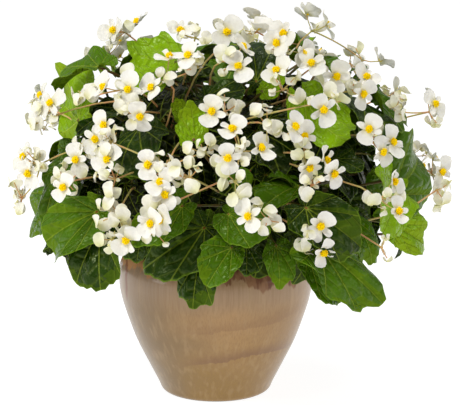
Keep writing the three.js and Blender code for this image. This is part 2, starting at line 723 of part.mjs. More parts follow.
const begonia = new THREE.Group();
begonia.add(meshOf(pot, "pot", paint(0xa2815f, 0.2)));
begonia.add(meshOf(soil, "soil", paint(0x3b2a1c, 0.95)));
const leafGreen = paint(0x3c5f18, 0.35);
canes.forEach((cane, k) => {
  const whole = wasm.Manifold.union([cane.solid, ...cane.leaves]);
  begonia.add(meshOf(whole, numbered("leafy_stem", k), leafGreen));
});
const petalWhite = paint(0xf1f1e6, 0.5);
[...frontSprays, ...backSprays].forEach((spray, k) => {
  begonia.add(meshOf(spray, numbered("flower_spray", k), petalWhite));
});

export default begonia;
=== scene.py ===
# %% [markdown]
# # A white begonia in a glazed pot
#
# This notebook dresses a potted begonia: ten leafy stems, forty-eight sprays of flowers, soil and a glazed
# stoneware pot. The solids of the plant are loaded first, as a fixed frame. Everything made here has to lie
# where those solids lie, so the first cell loads them, with their places applied, before anything is added.

# %% The frame
import math

import bmesh
import bpy
from mathutils import Matrix, Vector, kdtree


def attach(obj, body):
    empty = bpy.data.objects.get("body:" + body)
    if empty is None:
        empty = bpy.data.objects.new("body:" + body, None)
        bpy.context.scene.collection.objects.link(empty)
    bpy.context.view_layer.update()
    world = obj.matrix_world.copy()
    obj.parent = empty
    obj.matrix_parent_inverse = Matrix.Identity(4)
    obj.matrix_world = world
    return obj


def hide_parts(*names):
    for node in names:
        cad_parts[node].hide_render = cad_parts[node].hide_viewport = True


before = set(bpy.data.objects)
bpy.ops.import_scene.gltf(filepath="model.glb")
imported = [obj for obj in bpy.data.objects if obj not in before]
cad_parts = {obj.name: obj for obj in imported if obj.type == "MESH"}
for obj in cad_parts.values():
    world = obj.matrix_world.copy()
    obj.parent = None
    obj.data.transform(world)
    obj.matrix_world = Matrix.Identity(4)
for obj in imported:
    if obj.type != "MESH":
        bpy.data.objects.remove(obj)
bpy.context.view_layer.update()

MM = 0.001

# %% [markdown]
# ## How the plant was laid out
#
# The real plant is a dome of leaves, with flower heads standing out of it. The solids follow a rule: a
# place for each leaf and head, and small throws of chance that come out the same for the same seed. The
# same rule is repeated here, so that each leaf's joint, tip and curl are known exactly. All lengths in the
# rule are millimetres.

# %% The dome, the viewpoint and chance
DOME_CENTRE = Vector((12, 0, 205))
DOME_RADIUS = 238
VIEW_ACROSS, VIEW_UP, VIEW_DISTANCE = 17.5, 230.6, 2600
VIEW_TILT = math.radians(12)
RIGHT = Vector((1, 0, 0))
SKY = Vector((0, 0, 1))
TOWARD = Vector((0, -math.cos(VIEW_TILT), math.sin(VIEW_TILT)))
UPWARD = Vector((0, math.sin(VIEW_TILT), math.cos(VIEW_TILT)))
GOLDEN_TURN = math.pi * (3 - math.sqrt(5))


def dice(seed):
    """Throws that come out the same for the same seed."""
    state = (seed * 7919 + 12345) % 2**32

    def throw(low=0.0, high=1.0):
        nonlocal state
        state = (state * 1664525 + 1013904223) % 2**32
        return low + state / 2**32 * (high - low)

    throw()
    return throw


def stray(throw):
    """Three throws, as a vector."""
    return Vector((throw(-1, 1), throw(-1, 1), throw(-1, 1)))


def lerp(a, b, share):
    return a + (b - a) * share


def squared(vector, axis):
    """The vector less its part along a unit axis, at length one."""
    return (vector - axis * vector.dot(axis)).normalized()


def turned(vector, axis, angle):
    return Matrix.Rotation(angle, 3, axis) @ vector


def round_about(axis, angle):
    """The direction square to an axis that is nearest the sky, turned about that axis."""
    return turned(squared(SKY, axis), axis, angle)


def leaning(outward, turn, lean):
    """The direction that leans away from `outward` by `lean`, on the side that `turn` gives."""
    return outward * math.cos(lean) + round_about(outward, turn) * math.sin(lean)


def outward_at(point):
    return (point - DOME_CENTRE).normalized()


def heading(bearing, height):
    """Bearing 0 is the front. The height is the sine of the angle above the level."""
    level = math.sqrt(1 - height * height)
    return Vector((math.sin(bearing) * level, -math.cos(bearing) * level, height))


def seen(across, up, out):
    """The point of the dome, swollen by `out`, that shows at `across` and `up` from the front."""
    middle = DOME_CENTRE.dot(UPWARD)
    radius = DOME_RADIUS + out
    near, depth = 1.0, 0.0
    for _ in range(4):
        u = VIEW_ACROSS + (across - VIEW_ACROSS) * near
        v = VIEW_UP + (up - VIEW_UP) * near
        off = math.hypot(u - DOME_CENTRE.x, v - middle)
        depth = DOME_CENTRE.dot(TOWARD) + math.sqrt(max(0.0, radius * radius - off * off))
        near = (VIEW_DISTANCE - depth) / VIEW_DISTANCE
    u = VIEW_ACROSS + (across - VIEW_ACROSS) * near
    v = VIEW_UP + (up - VIEW_UP) * near
    return RIGHT * u + UPWARD * v + TOWARD * depth


print("a leaf at the middle of the dome sits at", seen(0, 250, 0))

# %% [markdown]
# ## Canes
#
# Ten fleshy canes rise from the soil, and every petiole and flower stalk leaves one of them. Their middle
# lines are simple bends of three points. The solids walk along each bend in a few straight steps, so a bud
# point is looked up on those steps and not on the smooth curve.

# %% Canes and their bud points
CANE_STEPS, CANE_BOTTOM, CANE_LEAN = 4, 132, 0.12
CANE_RINGS = [  # count, first bearing, foot, reach, height, rise
    (5, 20, 40, 138, 262, 0.95),
    (3, 75, 22, 92, 335, 0.9),
    (2, 10, 8, 34, 382, 0.8),
]
BUDS, BUD_PLAY, LAST_BUD = (0.45, 0.58, 0.71, 0.84), 0.12, 0.98
CURVE_SAMPLES = 200


class Bend:
    """A smooth bend through space, measured along its length."""

    def __init__(self, start, middle, end):
        self.corners = start, middle, end
        points = [self.at(k / CURVE_SAMPLES) for k in range(CURVE_SAMPLES + 1)]
        self.lengths = [0.0]
        for a, b in zip(points, points[1:]):
            self.lengths.append(self.lengths[-1] + (b - a).length)

    def at(self, t):
        start, middle, end = self.corners
        return start * (1 - t) ** 2 + middle * (2 * t * (1 - t)) + end * t * t

    def along(self, share):
        """The point this share of the whole length along."""
        goal = share * self.lengths[-1]
        k = next((i for i in range(CURVE_SAMPLES) if self.lengths[i + 1] >= goal), CURVE_SAMPLES - 1)
        step = self.lengths[k + 1] - self.lengths[k]
        return self.at((k + (goal - self.lengths[k]) / step) / CURVE_SAMPLES)

    def stepped(self, steps, share):
        """The point on the straight steps that the solid takes along the bend."""
        step = min(steps - 1, math.floor(share * steps))
        return self.along(step / steps).lerp(self.along((step + 1) / steps), share * steps - step)


def cane_bend(bearing, foot, reach, height, rise):
    level = heading(bearing, 0)
    start = level * foot + SKY * CANE_BOTTOM
    end = level * reach + SKY * height
    corner = start.lerp(end, CANE_LEAN)
    corner.z = lerp(CANE_BOTTOM, height, rise)
    return Bend(start, corner, end)


CANES = [cane_bend(math.radians(first) + 2 * math.pi * k / count, *sizes)
         for count, first, *sizes in CANE_RINGS for k in range(count)]


def bud_point(target, choice, throw):
    """The cane and the point on it that are the `choice` cheapest to reach from a target."""
    along = throw(-BUD_PLAY, BUD_PLAY)
    options = []
    for number, cane in enumerate(CANES):
        points = [cane.stepped(CANE_STEPS, min(LAST_BUD, share + along)) for share in BUDS]
        costs = [(p - target).length + max(0.0, p.z - target.z) for p in points]
        best = costs.index(min(costs))
        options.append((costs[best], number, points[best]))
    return sorted(options, key=lambda option: option[0])[choice][1:]


print("canes:", len(CANES))

# %% [markdown]
# ## Which throw was kept
#
# A leaf was thrown again until it was clear of its neighbours, and the solids say which throw was kept:
# the tip of that leaf, and of no other throw, is a corner of one of them. A k-d tree finds the nearest
# corner quickly.

# %% Corners of the solids
class Landmarks:
    """Finds which of some nodes has a corner at a point."""

    def __init__(self, word):
        self.owners = []
        names = sorted(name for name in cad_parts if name.startswith(word))
        corners = [(name, v.co / MM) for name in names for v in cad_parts[name].data.vertices]
        self.tree = kdtree.KDTree(len(corners))
        for k, (name, corner) in enumerate(corners):
            self.tree.insert(corner, k)
            self.owners.append(name)
        self.tree.balance()

    def node_at(self, point, nearest=0.01):
        _, k, distance = self.tree.find(point)
        return self.owners[k] if distance < nearest else None


LEAF_MARKS = Landmarks("leafy_stem")
FLOWER_MARKS = Landmarks("flower_spray")
print("corners:", len(LEAF_MARKS.owners), "on leaves,", len(FLOWER_MARKS.owners), "on flowers")

# %% [markdown]
# ## Leaves
#
# A begonia leaf is lopsided, heart-shaped at its joint and pointed at its tip. Its outline is a formula of
# the angle from the tip, and its surface arches along the midrib, folds or sags across it and waves along
# the edge. Each leaf has numbers of its own for these.

# %% The rule for a leaf
LEAF_THICK, LEAF_TRIES, LEAF_WAVES, LEAF_CREASE = 0.9, 36, 5, 0.02
ROUND, NOSE, POINT, SHARPNESS = 0.41, 0.15, 0.44, 9  # the outline: its oval, its longer front and its tip
NOTCH, NOTCH_WIDTH, FULLER = 0.8, 0.38, 0.16  # the heart at the joint, and how much fuller one half is
JOINT_IN, TIP_OUT, LEAF_STEP, LEAF_SWAY, BUD_UNDER = 16, 4, 4, 5, 20
RETHROW = 1000  # from the seed of one throw to the next


def creased(aside):
    """How high a fold along the midrib lifts a point beside it. The crease itself stays round."""
    return math.sqrt(aside * aside + LEAF_CREASE) - math.sqrt(LEAF_CREASE)


class Leaf:
    girth = 1.0  # how much broader or narrower than its neighbours a blade is

    def __init__(self, joint, tip, normal, roll, throw):
        self.joint = joint
        self.length = (tip - joint).length
        self.axis = (tip - joint).normalized()
        self.normal = turned(squared(normal, self.axis), self.axis, roll)
        self.side = self.normal.cross(self.axis)
        self.skew = -1 if throw() < 0.5 else 1
        self.arch = throw(0.03, 0.11)
        self.fold = throw(-0.05, 0.3)
        self.sag = throw(0, 0.28)
        self.wave = throw(0.025, 0.07)
        self.phase = throw(0, 2 * math.pi)

    def edge(self, turn):
        """From joint to edge, as a share of the length, at `turn` from the tip."""
        body = ROUND + NOSE * math.cos(turn) + POINT * math.cos(turn / 2) ** SHARPNESS
        behind = (math.pi - abs(turn)) / NOTCH_WIDTH
        heart = 1 - NOTCH * math.exp(-behind * behind)
        return body * heart * (1 + FULLER * self.skew * math.sin(turn))

    def rise(self, along, aside, turn, share):
        arch = self.arch * 4 * along * (1 - along)
        fold = self.fold * creased(aside)
        wave = self.wave * share**3 * math.sin(LEAF_WAVES * turn + self.phase)
        return arch + fold - self.sag * aside * aside + wave

    def place(self, along, aside, rise):
        """A point from its place on the leaf, in leaf lengths."""
        away = self.axis * along + self.side * aside + self.normal * rise
        return self.joint + away * self.length

    def tip(self):
        return self.place(1, 0, self.rise(1, 0, 0, 1)) + self.normal * (LEAF_THICK / 2)


def grown_leaf(build, seed):
    """The leaf as it was kept, with the node that it is in and its bud point, or None."""
    for attempt in range(LEAF_TRIES):
        throw = dice(seed + RETHROW * attempt)
        step = (1 if attempt % 2 else -1) * math.ceil(attempt / 4)
        leaf = build(step, throw)
        leaf.node = LEAF_MARKS.node_at(leaf.tip())
        if leaf.node:
            behind = leaf.joint - leaf.normal * BUD_UNDER
            leaf.cane, leaf.start = bud_point(behind, attempt % 4, throw)
            return leaf
    return None


print("a leaf is thrown up to", LEAF_TRIES, "times")

# %% [markdown]
# The leaves that show from the front are placed one by one: joint across and up, tip across and up, how
# far the leaf stands out of the dome, its roll in degrees, and -1 where it shows its underside. Old leaves
# are dark, and young ones near the top are a bright yellow-green.

# %% Front leaves
FRONT_LEAVES = [
    (-148, 219, -212, 181, 0, 0, 1), (-188, 239, -231, 205, -12, 0, 1), (-144, 201, -146, 119, 4, 0, 1),
    (-42, 226, -100, 180, 4, -10, 1), (-88, 194, -99, 154, -26, 0, 1), (-14, 199, -88, 151, -12, 0, 1),
    (-21, 161, -30, 96, 4, 0, 1), (20, 174, -10, 129, 12, 15, 1), (38, 176, 38, 139, -8, -10, 1),
    (75, 176, 80, 126, 8, 0, 1), (115, 165, 154, 104, -6, 0, 1), (128, 176, 204, 105, 8, 0, 1),
    (112, 224, 181, 176, 16, 0, 1), (170, 211, 200, 156, -18, 0, 1), (215, 239, 256, 288, -8, 0, 1),
    (220, 259, 211, 194, 0, 0, 1), (220, 204, 264, 176, -4, 40, 1), (15, 216, 65, 189, 12, 0, 1),
    (105, 251, 58, 226, 2, 10, 1), (86, 234, 58, 261, -10, -20, 1), (38, 240, 20, 278, -6, 20, 1),
    (-95, 324, -88, 271, -6, 0, 1), (-130, 341, -170, 311, -12, 0, 1), (-172, 333, -191, 399, 8, 0, -1),
    (-142, 381, -156, 412, 0, 20, -1), (-120, 394, -141, 424, 8, 10, -1),
    (-119, 394, -104, 421, 12, -20, -1),
    (-82, 381, -82, 426, -4, 0, 1), (-50, 406, -95, 438, 10, 20, -1), (-39, 414, -60, 431, -2, 0, 1),
    (-45, 335, -50, 361, -4, 0, -1), (-28, 309, -31, 355, 14, 0, -1), (-14, 361, 39, 369, -8, 0, 1),
    (50, 381, 41, 436, 6, 10, 1), (100, 421, 125, 438, 4, 0, -1), (58, 369, 81, 394, 6, 0, -1),
    (42, 384, 8, 401, -4, 10, 1), (110, 361, 160, 306, 14, 10, -1), (170, 361, 188, 319, -4, 0, 1),
    (180, 359, 205, 374, -4, 0, 1), (205, 351, 242, 302, -2, 0, 1), (168, 394, 188, 401, 0, 0, 1),
    (132, 406, 131, 424, 0, 0, -1), (149, 284, 182, 269, 0, 0, 1), (-168, 296, -198, 299, -12, 0, 1),
    (-101, 274, -135, 294, -10, 0, 1), (102, 354, 58, 349, -24, 0, 1), (30, 401, 11, 379, -20, 0, 1),
]
OLD_LEAVES = {3, 5, 6, 7, 9, 13, 20, 22, 23, 27, 33, 34, 39, 44}
YOUNG_LEAVES = {16, 17, 24, 25, 26, 28, 29, 30, 31, 32, 35, 36, 38}
GIRTH = {2: 0.7, 11: 0.72, 12: 0.72, 24: 1.35}  # leaves that are narrower or broader than the rest
OLD, YOUNG, GROWN = 0.12, 0.95, 0.45


def front_leaf(row, number):
    joint_across, joint_up, tip_across, tip_up, stand, roll, face = row

    def build(step, throw):
        joint = seen(joint_across, joint_up, stand - JOINT_IN + LEAF_STEP * step)
        tip = seen(tip_across, tip_up, stand + TIP_OUT + LEAF_STEP * step)
        normal = outward_at(joint.lerp(tip, 0.5)) * face
        sway = throw(-LEAF_SWAY, LEAF_SWAY) * (1 + abs(step))
        return Leaf(joint, tip, normal, math.radians(roll + sway), throw)

    leaf = grown_leaf(build, number)
    if leaf:
        leaf.youth = OLD if number in OLD_LEAVES else YOUNG if number in YOUNG_LEAVES else GROWN
        leaf.girth = GIRTH.get(number, 1.0)
    return leaf


LEAVES = [leaf for k, row in enumerate(FRONT_LEAVES) if (leaf := front_leaf(row, k + 1))]
print("front leaves found:", len(LEAVES), "of", len(FRONT_LEAVES))

# %% [markdown]
# The rest of the dome is covered evenly. Points spaced by the golden angle never line up, as on a
# sunflower, so they leave no stripes.

# %% Leaves all round
FILL_COUNT, FILL_TOP, FILL_LOW, FILL_SEED = 120, 0.97, -0.32, 500
FILL_LENGTH, FILL_TURN, FILL_ROLL, FILL_TIP = (62, 86), 1.1, 0.35, (-10, 8)
FILL_STEP, FILL_IN, FILL_JOINT_IN, FILL_LIFT = 6, 10, 12, 0.6
STUNTED = {104: 0.6, 108: 0.45, 116: 0.5, 117: 0.55}  # low at the sides, where few leaves grow out


def fill_leaf(k):
    height = lerp(FILL_TOP, FILL_LOW, (k + 0.5) / FILL_COUNT)
    outward = heading(GOLDEN_TURN * k, height)
    spot = DOME_CENTRE + outward * DOME_RADIUS
    downhill = squared(-SKY, outward)

    def build(step, throw):
        course = turned(downhill, outward, throw(-FILL_TURN, FILL_TURN))
        length = throw(*FILL_LENGTH)
        middle = spot + outward * (FILL_STEP * step - FILL_IN)
        joint = middle - course * (length / 2) - outward * FILL_JOINT_IN
        tip = middle + course * (length / 2) + outward * throw(*FILL_TIP)
        normal = (outward + SKY * throw(0, FILL_LIFT)).normalized()
        return Leaf(joint, tip, normal, throw(-FILL_ROLL, FILL_ROLL), throw)

    leaf = grown_leaf(build, FILL_SEED + k)
    if leaf:
        throw = dice(k + 60)
        leaf.youth = min(0.9, 0.12 + 0.3 * max(0, height) + throw(0, 0.4))
        leaf.length *= STUNTED.get(k, 1.0)
    return leaf


LEAVES += [leaf for k in range(FILL_COUNT) if (leaf := fill_leaf(k))]
print("leaves found in all:", len(LEAVES))

# %% [markdown]
# ## Flower heads
#
# A stalk leaves a cane and ends in a knuckle, from which the pedicels spring. Some stalks fork to a second
# head. Male flowers open wide round a knob of stamens, and the others are still two round petals pressed
# together.

# %% The rule for a spray
HEAD_OUT, HEAD_TURN = 30, 2.4
FLOWER_REACH, FLOWER_KNOB, OPEN_SIZES, OPEN_PEDICEL = 19, 3.4, (0.88, 1.06), (18, 27)
BUD_RADIUS, BUD_HALF, CLOSED_SIZES, CLOSED_PEDICEL = 10.2, 2.9, (0.78, 1.08), (13, 22)
LONE_LEAN, LEAN, FLOWER_TRIES = (0, 0.4), (0.75, 1.25), 12
KNUCKLE, STALK_TRIES, STALK_STAGE, STALK_UNDER, STALK_BOW = 5.2, 240, 60, 80, 2.1
CORNERS = [Vector(c) / math.sqrt(3) for c in ((1, 1, 1), (-1, -1, 1), (-1, 1, -1), (1, -1, -1))]


class Head:
    dry = False

    def __init__(self, point, is_open, closed, turn):
        self.point, self.outward = point, outward_at(point)
        self.open, self.closed, self.turn = is_open, closed, turn


class Bloom:
    """Anything that flowers. It is built along three directions: facing, along a petal, and sideways."""

    def face(self, facing, spin):
        self.facing = facing.normalized()
        self.petal = round_about(self.facing, spin)
        self.side = self.facing.cross(self.petal)


class Flower(Bloom):
    """Flower k of a head. The open ones come first."""

    def __init__(self, head, k, throw):
        total = head.open + head.closed
        self.open = k < head.open
        turn = head.turn + 2 * math.pi * k / total + throw(-0.3, 0.3)
        aim = leaning(head.outward, turn, throw(*(LONE_LEAN if total == 1 else LEAN)))
        length = throw(*(OPEN_PEDICEL if self.open else CLOSED_PEDICEL))
        wander = stray(throw) * (0.3 if self.open else 0.5)
        self.face(head.outward + aim * 0.45 + wander, throw(-0.9, 0.9))
        self.centre = head.point + aim * length
        self.size = FLOWER_REACH * throw(*OPEN_SIZES) if self.open else BUD_RADIUS * throw(*CLOSED_SIZES)
        self.cup = throw(-0.6, 1)

    def apex(self):
        return self.centre + self.facing * (FLOWER_KNOB if self.open else BUD_HALF)


class Spray:
    """The heads, flowers and routes of a spray as it was kept, and the node that it is in."""

    def __init__(self, node, heads, routes, flowers):
        self.node, self.heads, self.routes, self.flowers = node, heads, routes, flowers


print("an open flower is about", 2 * FLOWER_REACH, "mm across")

# %% [markdown]
# A stalk bows to one side on its way to its head, further the more often it has been thrown. The solids
# say again which throw was kept. Its knuckle is a corner of one of them, and of the throws for which that
# is so, the one with the most of its flowers is taken.

# %% Which throw of a spray was kept
def routes_to(heads, attempt, throw):
    first = heads[0]
    _, start = bud_point(first.point - first.outward * STALK_UNDER, attempt % 4, throw)
    span = (first.point - start).length
    sideways = round_about(first.outward, throw(-STALK_BOW, STALK_BOW))
    detour = 0.3 + 0.2 * (attempt // STALK_STAGE)
    via = start.lerp(first.point, throw(0.4, 0.8))
    via += sideways * (span * throw(0, detour)) + SKY * (span * 0.08)
    routes = [Bend(start, via, first.point)]
    for head in heads[1:]:
        elbow = first.point.lerp(head.point, 0.5) + head.outward * throw(-16, 6)
        routes.append(Bend(first.point, elbow, head.point))
    return routes


def kept_flowers(head, node, seed):
    flowers = []
    for k in range(head.open + head.closed):
        tries = (Flower(head, k, dice(seed + 31 * k + 4000 * attempt)) for attempt in range(FLOWER_TRIES))
        flowers += [f for f in tries if FLOWER_MARKS.node_at(f.apex()) == node][:1]
    return flowers


def grown_spray(heads_at, seed):
    """The throw whose first knuckle is a solid's, and of those the one with the most of its flowers."""
    fits = []
    for attempt in range(STALK_TRIES):
        throw = dice(seed + RETHROW * attempt)
        out = HEAD_OUT + throw(-4, 4)
        heads = heads_at(out, throw(-16, 16) * (attempt // STALK_STAGE))
        marks = [FLOWER_MARKS.node_at(heads[0].point + corner * KNUCKLE) for corner in CORNERS]
        node = next((mark for mark in marks if mark), None)
        if not node or marks.count(node) < 2:
            continue
        routes = routes_to(heads, attempt, throw)
        flowers = [kept_flowers(head, node, seed + RETHROW * attempt + 7 * h)
                   for h, head in enumerate(heads)]
        fits.append(Spray(node, heads, routes, flowers))
    return max(fits, key=lambda spray: sum(map(len, spray.flowers)), default=None)


print("a spray is thrown up to", STALK_TRIES, "times")

# %% [markdown]
# Each row is one stalk with one or two heads: head across and up, open flowers, closed flowers. The sprays
# round the back follow a rule.

# %% Sprays
FRONT_SPRAYS = [
    [(275, 246, 1, 2)], [(133, 355, 1, 1)], [(-114, 444, 2, 1)], [(-26, 436, 1, 1), (8, 444, 1, 1)],
    [(20, 406, 2, 1)], [(51, 450, 2, 0), (83, 424, 3, 0)], [(124, 399, 3, 0)], [(164, 390, 1, 1)],
    [(83, 371, 1, 1)], [(171, 369, 1, 1)], [(268, 344, 2, 1), (220, 349, 0, 2)], [(195, 306, 3, 1)],
    [(205, 234, 2, 1)], [(-63, 384, 2, 0), (-23, 399, 1, 0)], [(-114, 371, 2, 1), (-158, 361, 0, 2)],
    [(-105, 340, 1, 1)], [(-130, 305, 1, 1)], [(-158, 294, 2, 1)], [(-208, 336, 2, 1)],
    [(-220, 278, 2, 1), (-243, 236, 0, 2)], [(-185, 256, 1, 1)], [(-126, 259, 1, 1)], [(-122, 218, 0, 3)],
    [(-130, 184, 1, 1)], [(-64, 268, 2, 1), (-33, 261, 0, 2)], [(-68, 224, 2, 1), (-76, 196, 1, 0)],
    [(-14, 293, 0, 3)], [(11, 344, 1, 1)], [(30, 294, 3, 0), (24, 256, 0, 2)],
    [(64, 327, 0, 2), (89, 315, 1, 0)], [(111, 286, 3, 1)], [(120, 252, 1, 1)], [(64, 209, 1, 1)],
    [(120, 186, 2, 1)], [(207, 174, 0, 2)],
]
BACK_COUNT, BACK_HEADS = 13, ((2, 1), (1, 1))
BACK_SPREAD, BACK_TOP, BACK_LOW, BACK_ARC = 32, 0.9, -0.1, 2.9
FRONT_SEED, BACK_SEED = 7000, 8000


def front_spray(row, index):
    def heads_at(out, nearer):
        return [Head(seen(across, up, out) + TOWARD * nearer, is_open, closed, HEAD_TURN * (index + h))
                for h, (across, up, is_open, closed) in enumerate(row)]

    return grown_spray(heads_at, FRONT_SEED + index)


def back_spray(index):
    height = lerp(BACK_TOP, BACK_LOW, (index + 0.5) / BACK_COUNT)
    bearing = math.pi + ((index * GOLDEN_TURN / (2 * math.pi)) % 1 - 0.5) * BACK_ARC
    outward = heading(bearing, height)

    def heads_at(out, _):
        heads = []
        for h, (is_open, closed) in enumerate(BACK_HEADS):
            spread = round_about(outward, index + math.pi * h)
            away = outward_at(DOME_CENTRE + outward * DOME_RADIUS + spread * BACK_SPREAD)
            point = DOME_CENTRE + away * (DOME_RADIUS + out)
            heads.append(Head(point, is_open, closed, HEAD_TURN * (index + h)))
        return heads

    return grown_spray(heads_at, BACK_SEED + index)


SPRAYS = [front_spray(row, k) for k, row in enumerate(FRONT_SPRAYS)]
SPRAYS += [back_spray(k) for k in range(BACK_COUNT)]
SPRAYS = [spray for spray in SPRAYS if spray]
print("sprays found:", len(SPRAYS), "flowers:", sum(len(f) for s in SPRAYS for f in s.flowers))

# %% [markdown]
# ## How heads nod
#
# The flowers are heavy, so those that stand out highest bow down a little. A point moves straight down, or
# inwards at the far sides, and by no more than a centimetre: the hidden solid of a head that moved further
# would no longer be where the head is seen. Every flower then turns a little from where it faced.

# %% Nodding
CROWN, SHOULDER = 443, 368  # the skyline from the front, and how low it comes at the right
SHOULDER_FROM, SHOULDER_FALL = 50, 0.62  # from where it falls, and how steeply
LEFT_LIMIT, RIGHT_LIMIT, SINK = -227, 268, 0.88  # SINK is how much of what stands out is taken back
MOST_MOVED = 10  # a quarter of a flower, so that each one stays on its solid
NOD, WANDER = 0.5, 0.4
TO_LIGHT, SIDE = 0.5, 230  # a front flower turns this much to the light, this far from the middle


def lowered(point):
    """Where a point of a spray ends up, as the highest heads bow down under their own weight."""
    skyline = max(SHOULDER, CROWN - SHOULDER_FALL * max(0.0, point.x - SHOULDER_FROM))
    outside = max(0.0, point.x - RIGHT_LIMIT) - max(0.0, LEFT_LIMIT - point.x)
    near = VIEW_DISTANCE / (VIEW_DISTANCE - point.dot(TOWARD))
    over = VIEW_UP + (point.dot(UPWARD) - VIEW_UP) * near - skyline
    move = -SKY * (SINK * max(0.0, over)) - RIGHT * (SINK * outside)
    return point + move * min(1.0, MOST_MOVED / max(move.length, 1e-6))


def nodding(flower, to_light, throw):
    """A flower that faces the sky nods, one at the side turns to the front, and no two look alike."""
    flower.centre = lowered(flower.centre)
    nod = SKY * (NOD * max(0.0, flower.facing.z))
    light = TOWARD * (to_light * (flower.centre.x / SIDE) ** 2)
    flower.facing = (flower.facing - nod + light + stray(throw) * WANDER).normalized()
    flower.petal = squared(flower.petal, flower.facing)
    flower.side = flower.facing.cross(flower.petal)


print("a head moves", round((lowered(SKY * 600) - SKY * 600).length), "mm at most")

# %% [markdown]
# ## Writing materials as sums
#
# A finish is a small sum: so much of this colour where that mask is high. The class below wraps a node's
# output, so that `mask * 0.4 + grain` adds the Math nodes by itself, and one method makes every other node.

# %% A small kit for finishes
class Socket:
    """One output of a node. Arithmetic on it adds Math nodes."""

    def __init__(self, finish, output):
        self.finish, self.output = finish, output

    def maths(self, operation, *others):
        """A Math node whose first input is this socket."""
        return self.finish.node("Math", {"operation": operation}, dict(enumerate((self, *others))))

    def __add__(self, other):
        return self.maths("ADD", other)

    def __sub__(self, other):
        return self.maths("SUBTRACT", other)

    def __rsub__(self, other):
        return self.maths("MULTIPLY_ADD", -1.0, other)

    def __mul__(self, other):
        return self.maths("MULTIPLY", other)

    def __pow__(self, other):
        return self.maths("POWER", other)

    __radd__, __rmul__ = __add__, __mul__


print("sums are written with + - * and **")

# %% [markdown]
# A finish is the material itself. Constants are set on the shader's own sockets, and only what changes over
# the surface is linked.

# %% Finishes
class Finish:
    """A material with one Principled shader, whose constants are set on the shader's own sockets."""

    def __init__(self, name, **constants):
        self.material = bpy.data.materials.new(name)
        self.material.use_nodes = True
        self.tree = self.material.node_tree
        self.shader = next(n for n in self.tree.nodes if n.type == "BSDF_PRINCIPLED")
        for socket, value in constants.items():
            self.shader.inputs[socket.replace("_", " ")].default_value = value

    def node(self, kind, settings=None, inputs=None, outlet=0):
        """Makes any node: its settings first, then the values or links of its sockets."""
        made = self.tree.nodes.new("ShaderNode" + kind)
        for name, value in (settings or {}).items():
            setattr(made, name, value)
        for socket, value in (inputs or {}).items():
            self.feed(made.inputs[socket], value)
        return Socket(self, made.outputs[outlet])

    def feed(self, socket, value):
        if isinstance(value, Socket):
            self.tree.links.new(value.output, socket)
        else:
            socket.default_value = value

    def wear(self, **sockets):
        """Links what changes over the surface to the shader."""
        for socket, value in sockets.items():
            self.feed(self.shader.inputs[socket.replace("_", " ")], value)
        return self.material

    def spot(self):
        return self.node("TexCoord", outlet="Object")

    def noise(self, scale, detail):
        return self.node("TexNoise", {}, {"Vector": self.spot(), "Scale": scale, "Detail": detail})

    def drawn(self, across, up, detail=2.0):
        """Noise that is drawn out along Z where `up` is the smaller."""
        place = self.node("Mapping", {}, {"Vector": self.spot(), "Scale": (across, across, up)})
        return self.node("TexNoise", {}, {"Vector": place, "Scale": 1.0, "Detail": detail})

    def attribute(self, name):
        return self.node("Attribute", {"attribute_name": name}, outlet="Fac")

    def ease(self, value, low, high):
        """0 below `low`, 1 above `high` and smooth between them."""
        settings = {"interpolation_type": "SMOOTHSTEP"}
        return self.node("MapRange", settings, {0: value, 1: low, 2: high})

    def mix(self, share, first, second):
        return self.node("Mix", {"data_type": "RGBA"}, {0: share, 6: first, 7: second}, 2)

    def bump(self, height, distance):
        return self.node("Bump", {}, {"Height": height, "Distance": distance, "Strength": 1.0})


def colour(red, green, blue):
    """Linear colour from the usual 0 to 255."""
    shares = [channel / 255 for channel in (red, green, blue)]
    return (*(s / 12.92 if s <= 0.04045 else ((s + 0.055) / 1.055) ** 2.4 for s in shares), 1.0)


print("white is", colour(255, 255, 255))

# %% [markdown]
# ## The glaze
#
# The pot is stoneware under a thick, runny glaze: golden low down, greyer to the left and higher up, with
# fine streaks straight down. Two lines rise to the right, each where one coat ends over another, and at the
# shoulder the glaze has run off the clay, which is red-brown, with painted light making it caramel at the
# left. The streaks are a noise pattern drawn out along Z, and the lines are read from the height of each
# point, so no picture has to be wrapped round the pot.

# %% Glaze
COAT_LINES = [(0.059, 0.20, -2.1, 0.6), (0.099, 0.10, 0.0, 0.3)]  # height, slope, bend, strength
BARE_FROM, SHADE_LINE_TO = 0.163, 0.002
DRIP_AT, DRIP_TO = -0.106, 0.124  # a brown run on the left shoulder


